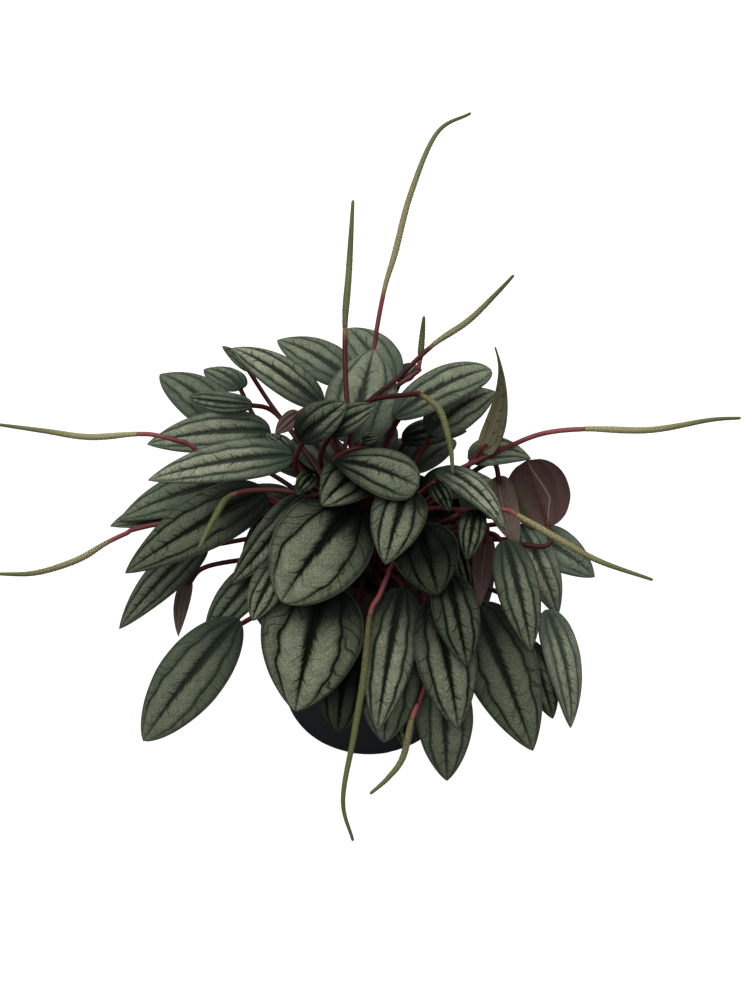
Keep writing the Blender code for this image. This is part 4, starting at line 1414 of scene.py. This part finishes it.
@dataclass
class Plant:
    """The leaves, the flower spikes and the crown with its stalks."""

    stalk_radius: float = 1.15
    peduncle_radius: float = 1.1
    seat_gap: float = 0.3
    stalk_sides: int = 12
    stalk_steps: int = 28
    foot_swell: float = 0.35
    joint_share: float = 0.45
    spike_end_share: float = 0.92
    far_cell: float = 1.5
    blades: dict[str, Blade] = field(default_factory=dict)
    spikes: dict[str, Spike] = field(default_factory=dict)

    def place(self) -> None:
        """Reads the tables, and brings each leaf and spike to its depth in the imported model."""
        for name, angle, base_radius, base_height, tip_radius, tip_height, width in BACK_LEAVES:
            out = Vector((math.cos(math.radians(angle)), math.sin(math.radians(angle)), 0))
            base = out * base_radius + Vector((0, 0, base_height))
            tip = out * tip_radius + Vector((0, 0, tip_height))
            facing = out * 0.3 + Vector((0, 0, 1))
            self.blades[name] = Blade(name, base, tip, width / 2, 0, 14, 6, facing, PLAIN_OUTLINE)
        for row in LEAVES_AND_SPIKES:
            name = row[0]
            if name in SPIKES:
                self.spikes[name] = self.placed_spike(name)
            else:
                self.blades[name] = self.placed_blade(*row)

    def placed_blade(
        self, name: str, base_pixel: Pixel, base_height: float, tip_pixel: Pixel, tip_height: float,
        width: float, roll: float, fold: float, arch: float,
    ) -> Blade:
        """The blade that one row of the table describes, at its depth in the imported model."""
        base = sight(base_pixel, base_height)
        tip = sight(tip_pixel, tip_height)
        facing = (EYE - base).normalized() + Vector((0, 0, 1))
        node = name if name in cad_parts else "crown"
        share = depth_share(node, tip, 1)
        outline = OWN_OUTLINES.get(name, PLAIN_OUTLINE)
        half_width = width / 2 * share
        base, tip = nearer(base, share), nearer(tip, share)
        return Blade(name, base, tip, half_width, roll, fold, arch, facing, outline)

    def placed_spike(self, name: str) -> Spike:
        """The spike that one row of the table describes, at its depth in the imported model."""
        stalk_rows, spadix_rows = SPIKES[name]
        stalk = [sight(row[:2], row[2]) for row in stalk_rows]
        spadix = [sight(row[:2], row[2]) for row in spadix_rows]
        share = depth_share(name.replace("spike", "spadix"), spadix[-1], 6)
        return Spike(name, [nearer(p, share) for p in stalk], [nearer(p, share) for p in spadix])

    def stalk(self, path: list[Vector], joint: list[Vector], radius: float) -> bmesh.types.BMesh:
        """A smooth round stalk, a little thicker at its foot.

        Args:
            path: the points that it passes through.
            joint: the last point inside its blade, if it has one.
            radius: its radius along most of its length.

        Returns:
            The stalk's tube.
        """
        line = [*smooth_path(path, self.stalk_steps), *joint]
        last = len(line) - 1
        swells = [1 - smooth_step(0, 0.3, k / last) for k in range(last + 1)]
        radii = [radius * (1 + self.foot_swell * swell) for swell in swells]
        radii[-1] *= self.joint_share if joint else self.spike_end_share
        return swept(line, radii, self.stalk_sides)

    def build_blades(self) -> None:
        """Models every leaf blade: the large ones as pieces, the small ones as part of the crown."""
        dress = (LeafFace(), LeafUnderside())
        small, far = bmesh.new(), bmesh.new()
        for name, blade in self.blades.items():
            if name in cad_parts:
                finished_piece(name + "_blade", blade.solid(1.0), dress, [name])
            elif name.startswith("back"):
                add_to(far, blade.solid(self.far_cell))
            else:
                add_to(small, blade.solid(1.0))
        finished_piece("small_leaves", small, dress, ["crown"])
        finished_piece("far_leaves", far, dress, ["crown"])

    def build_stalks(self) -> None:
        """Models the stalk of every leaf and of every spike."""
        finder = StalkFinder()
        petioles, peduncles = bmesh.new(), bmesh.new()
        for name, blade in self.blades.items():
            gap = self.seat_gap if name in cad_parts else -blade.thickness
            arrivals = blade.arrivals(self.stalk_radius, gap)
            path, joint = finder.route(arrivals, self.stalk_radius)
            add_to(petioles, self.stalk(path, [joint], self.stalk_radius))
        for name, spike in self.spikes.items():
            visible = spike.split()[0]
            path, _ = finder.route(finder.spike_arrivals(visible), self.peduncle_radius)
            tube = self.stalk([*path[:-1], *visible[::4]], [], self.peduncle_radius)
            add_to(petioles if name in SHADED_STALKS else peduncles, tube)
        finished_piece("petioles", petioles, [StalkKind.PETIOLE.value], ["crown"])
        finished_piece("peduncles", peduncles, [StalkKind.PEDUNCLE.value], ["crown"])

    def build_spadices(self) -> None:
        """Models the beaded part of every spike."""
        for name, spike in self.spikes.items():
            node = name.replace("spike", "spadix")
            finished_piece(node + "_beads", spike.beaded(), [SpadixSkin()], [node])

    def build_crown(self) -> None:
        """Models the short thick stem that the stalks grow from."""
        profile = (
            (0, 83.3), (12.0, 83.3), (12.2, 87.0), (12.0, 91.0), (11.7, 94.2), (10.9, 97.0),
            (9.4, 99.8), (7.2, 101.7), (3.8, 102.8), (0, 103.1),
        )
        bm = turned(profile, 32)
        for vert in bm.verts:
            out = Vector((vert.co.x, vert.co.y, 0))
            knob = noise.noise(vert.co * 0.25) * 0.5
            vert.co += out.normalized() * knob if out.length > 1 else Vector((0, 0, knob))
        mark(bm, "seed", 0.0)
        bm.loops.layers.uv.new("Length")
        finished_piece("crown_stem", bm, [StalkKind.PETIOLE.value], ["crown"])

    def build(self) -> None:
        """Models the whole plant."""
        self.place()
        self.build_blades()
        self.build_stalks()
        self.build_spadices()
        self.build_crown()


@dataclass
class Pot:
    """The dark nursery pot, with a rolled collar and drain notches round its base."""

    height: float = 100.0
    base_radius: float = 42.0
    body_radius: float = 53.5
    rim_radius: float = 59.0
    collar_height: float = 11.0
    wall: float = 1.4
    floor: float = 2.4
    segments: int = 120
    notches: int = 8
    notch_size: tuple[float, float, float] = (12.0, 9.0, 3.4)

    def profile(self) -> list[tuple[float, float]]:
        """The half outline, from the middle of the base round to the middle of the floor."""
        top, wall_top = self.height, self.height - self.collar_height
        base, body, rim = self.base_radius, self.body_radius, self.rim_radius
        slope = (body - base) / wall_top
        outer = [(base - 2.0, 0.0), (base - 1.2, 0.12), (base - 0.5, 0.6)]
        outer += [(base - 0.05, 1.4), (base + 0.3, 2.4)]
        outer += [(base + slope * z, float(z)) for z in (12, 24, 36, 48, 60, 72, 82)]
        outer += [(body, wall_top - 0.9), (body + 0.3, wall_top - 0.3)]
        collar = [(rim - 1.6, wall_top), (rim - 0.9, wall_top + 0.3), (rim - 0.5, wall_top + 1.0)]
        collar += [(rim - 0.1, top - 1.6), (rim - 0.3, top - 0.7), (rim - 0.9, top - 0.15)]
        collar += [(rim - 1.5, top), (rim - 2.1, top - 0.2), (rim - 2.4, top - 0.9)]
        collar += [(rim - 3.0, wall_top + 2.4), (rim - 3.6, wall_top + 1.2)]
        inner = [(body - self.wall, wall_top + 0.6), (body - self.wall, wall_top - 1.0)]
        inner += [(base - self.wall, self.floor + 1.0), (base - self.wall - 1.0, self.floor)]
        return [(0.0, 0.0), *outer, *collar, *inner, (0.0, self.floor)]

    def cutters(self) -> list[bpy.types.Object]:
        """The blocks that cut the drain notches."""
        blocks = []
        for k in range(self.notches):
            bm = bmesh.new()
            bmesh.ops.create_cube(bm, size=1)
            bmesh.ops.scale(bm, vec=Vector(self.notch_size) * MM, verts=bm.verts)
            bmesh.ops.translate(bm, vec=(0, self.base_radius * MM, 0), verts=bm.verts)
            turn = Matrix.Rotation(2 * math.pi * (k + 0.5) / self.notches, 3, "Z")
            bmesh.ops.rotate(bm, matrix=turn, verts=bm.verts)
            blocks.append(bpy.data.objects.new("notch", as_mesh("notch", bm)))
        return blocks

    def build(self) -> None:
        """Models the pot and cuts its notches."""
        shell = turned(self.profile(), self.segments)
        piece = finished_piece("pot_shell", shell, [PotPlastic()], ["pot"])
        tools = bpy.data.collections.new("notches")
        bpy.context.scene.collection.children.link(tools)
        blocks = self.cutters()
        for block in blocks:
            tools.objects.link(block)
        cut = piece.modifiers.new("cut", "BOOLEAN")
        cut.operation = "DIFFERENCE"
        cut.solver = "EXACT"
        cut.operand_type = "COLLECTION"
        cut.collection = tools
        depsgraph = bpy.context.evaluated_depsgraph_get()
        mesh = bpy.data.meshes.new_from_object(piece.evaluated_get(depsgraph))
        piece.modifiers.clear()
        piece.data = mesh
        mesh.shade_smooth()
        mesh.set_sharp_from_angle(angle=math.radians(40))
        for block in blocks:
            bpy.data.objects.remove(block)
        bpy.data.collections.remove(tools)


@dataclass
class Soil:
    """The plug of peat that fills the pot, with loose crumbs on it."""

    low: float = 2.7
    low_radius: float = 40.1
    top: float = 88.0
    crest: float = 91.0
    slope: float = 0.129
    hole: float = 12.3
    hole_depth: float = 8.0
    rings: int = 15
    segments: int = 72
    crumbs: int = 240
    seed: int = 5

    def build(self) -> None:
        """Models the plug and scatters its crumbs."""
        top_radius = self.low_radius + self.slope * (self.top - self.low)
        rings = [(top_radius, self.top)]
        for k in range(1, self.rings + 1):
            share = k / self.rings
            radius = top_radius + (self.hole - top_radius) * share
            rings.append((radius, self.top + (self.crest - self.top) * min(1.0, share * 2)))
        pit = self.crest - self.hole_depth
        profile = [(0, self.low), (self.low_radius, self.low), *rings, (self.hole, pit), (0, pit)]
        bm = turned(profile, self.segments)
        for vert in bm.verts:
            if vert.co.z > self.top + 0.5:
                vert.co.z += noise.fractal(vert.co * 0.22, 1.0, 2.0, 3) * 0.8
        rng = random.Random(self.seed)
        for _ in range(self.crumbs):
            self.add_crumb(bm, rng, top_radius)
        finished_piece("peat", bm, [PeatSurface()], ["soil"])

    def add_crumb(self, bm: bmesh.types.BMesh, rng: random.Random, top_radius: float) -> None:
        """Adds one crumb at random, half sunk in the surface."""
        angle = rng.uniform(0, 2 * math.pi)
        radius = rng.uniform(self.hole + 2, top_radius - 3)
        size = rng.uniform(0.5, 1.5)
        crumb = bmesh.ops.create_icosphere(bm, subdivisions=1, radius=size)["verts"]
        stretch = (rng.uniform(0.7, 1.6), rng.uniform(0.6, 1.2), rng.uniform(0.4, 0.9))
        bmesh.ops.scale(bm, vec=stretch, verts=crumb)
        turn = Matrix.Rotation(rng.uniform(0, math.pi), 3, (rng.uniform(-1, 1), rng.uniform(-1, 1), 1))
        bmesh.ops.rotate(bm, matrix=turn, verts=crumb)
        spot = (radius * math.cos(angle), radius * math.sin(angle), self.crest - 0.2)
        bmesh.ops.translate(bm, vec=spot, verts=crumb)


@dataclass
class Studio:
    """The plain pale floor, the soft lights and the camera at the photograph's viewing angle."""

    floor_size: float = 8.0
    sky: Colour = (1.0, 1.0, 1.0)
    sky_strength: float = 1.3
    low_strength: float = 0.12
    sky_foot: float = -0.05
    key_energy: float = 16.0
    key_size: float = 1.0
    key_place: tuple[float, float, float] = (-0.3, -0.1, 1.6)
    target: tuple[float, float, float] = (0.0, 0.0, 0.12)

    def build(self) -> None:
        """Sets up the floor, the lights and the camera."""
        self.build_floor()
        self.build_light()
        self.build_camera()

    def build_floor(self) -> None:
        """Lays the floor just under the pot."""
        bm = bmesh.new()
        bmesh.ops.create_grid(bm, x_segments=1, y_segments=1, size=self.floor_size / 2)
        bmesh.ops.translate(bm, vec=(0, 0, -0.0002), verts=bm.verts)
        floor = placed("floor", as_mesh("floor", bm))
        floor.data.materials.append(StudioFloor().material())

    def build_light(self) -> None:
        """Makes a surround that is bright overhead and white to the camera, and one soft light."""
        world = bpy.data.worlds.new("surround")
        world.use_nodes = True
        graph = Graph(world.node_tree)
        background = world.node_tree.nodes["Background"]
        graph.feed(background.inputs["Color"], self.sky)
        height = graph.parts(graph.node("TexCoord", {}, "Generated"))[2]
        glow = height.rise(self.sky_foot, 1.0, self.low_strength, self.sky_strength)
        graph.feed(background.inputs["Strength"], glow.at_least(graph.seen()))
        bpy.context.scene.world = world
        data = bpy.data.lights.new("key", "AREA")
        data.energy = self.key_energy
        data.size = self.key_size
        key = placed("key", data)
        key.location = self.key_place
        aim = Vector(self.target) - Vector(self.key_place)
        key.rotation_euler = aim.to_track_quat("-Z", "Y").to_euler()

    def build_camera(self) -> None:
        """Places the camera where the photograph was taken from."""
        data = bpy.data.cameras.new("camera")
        data.lens = LENS
        data.sensor_width = SENSOR
        data.clip_start = 0.01
        camera = placed("camera", data)
        camera.location = EYE * MM
        camera.rotation_euler = (math.pi / 2 - LOOK_DOWN, 0, 0)
        bpy.context.scene.camera = camera
        bpy.context.scene.view_settings.view_transform = "Standard"


def main() -> None:
    """Builds the scene, one sub-assembly after another."""
    logging.basicConfig(level=logging.INFO, format="%(message)s")
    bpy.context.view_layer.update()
    Studio().build()
    Pot().build()
    Soil().build()
    Plant().build()


if __name__ == "__main__":
    main()
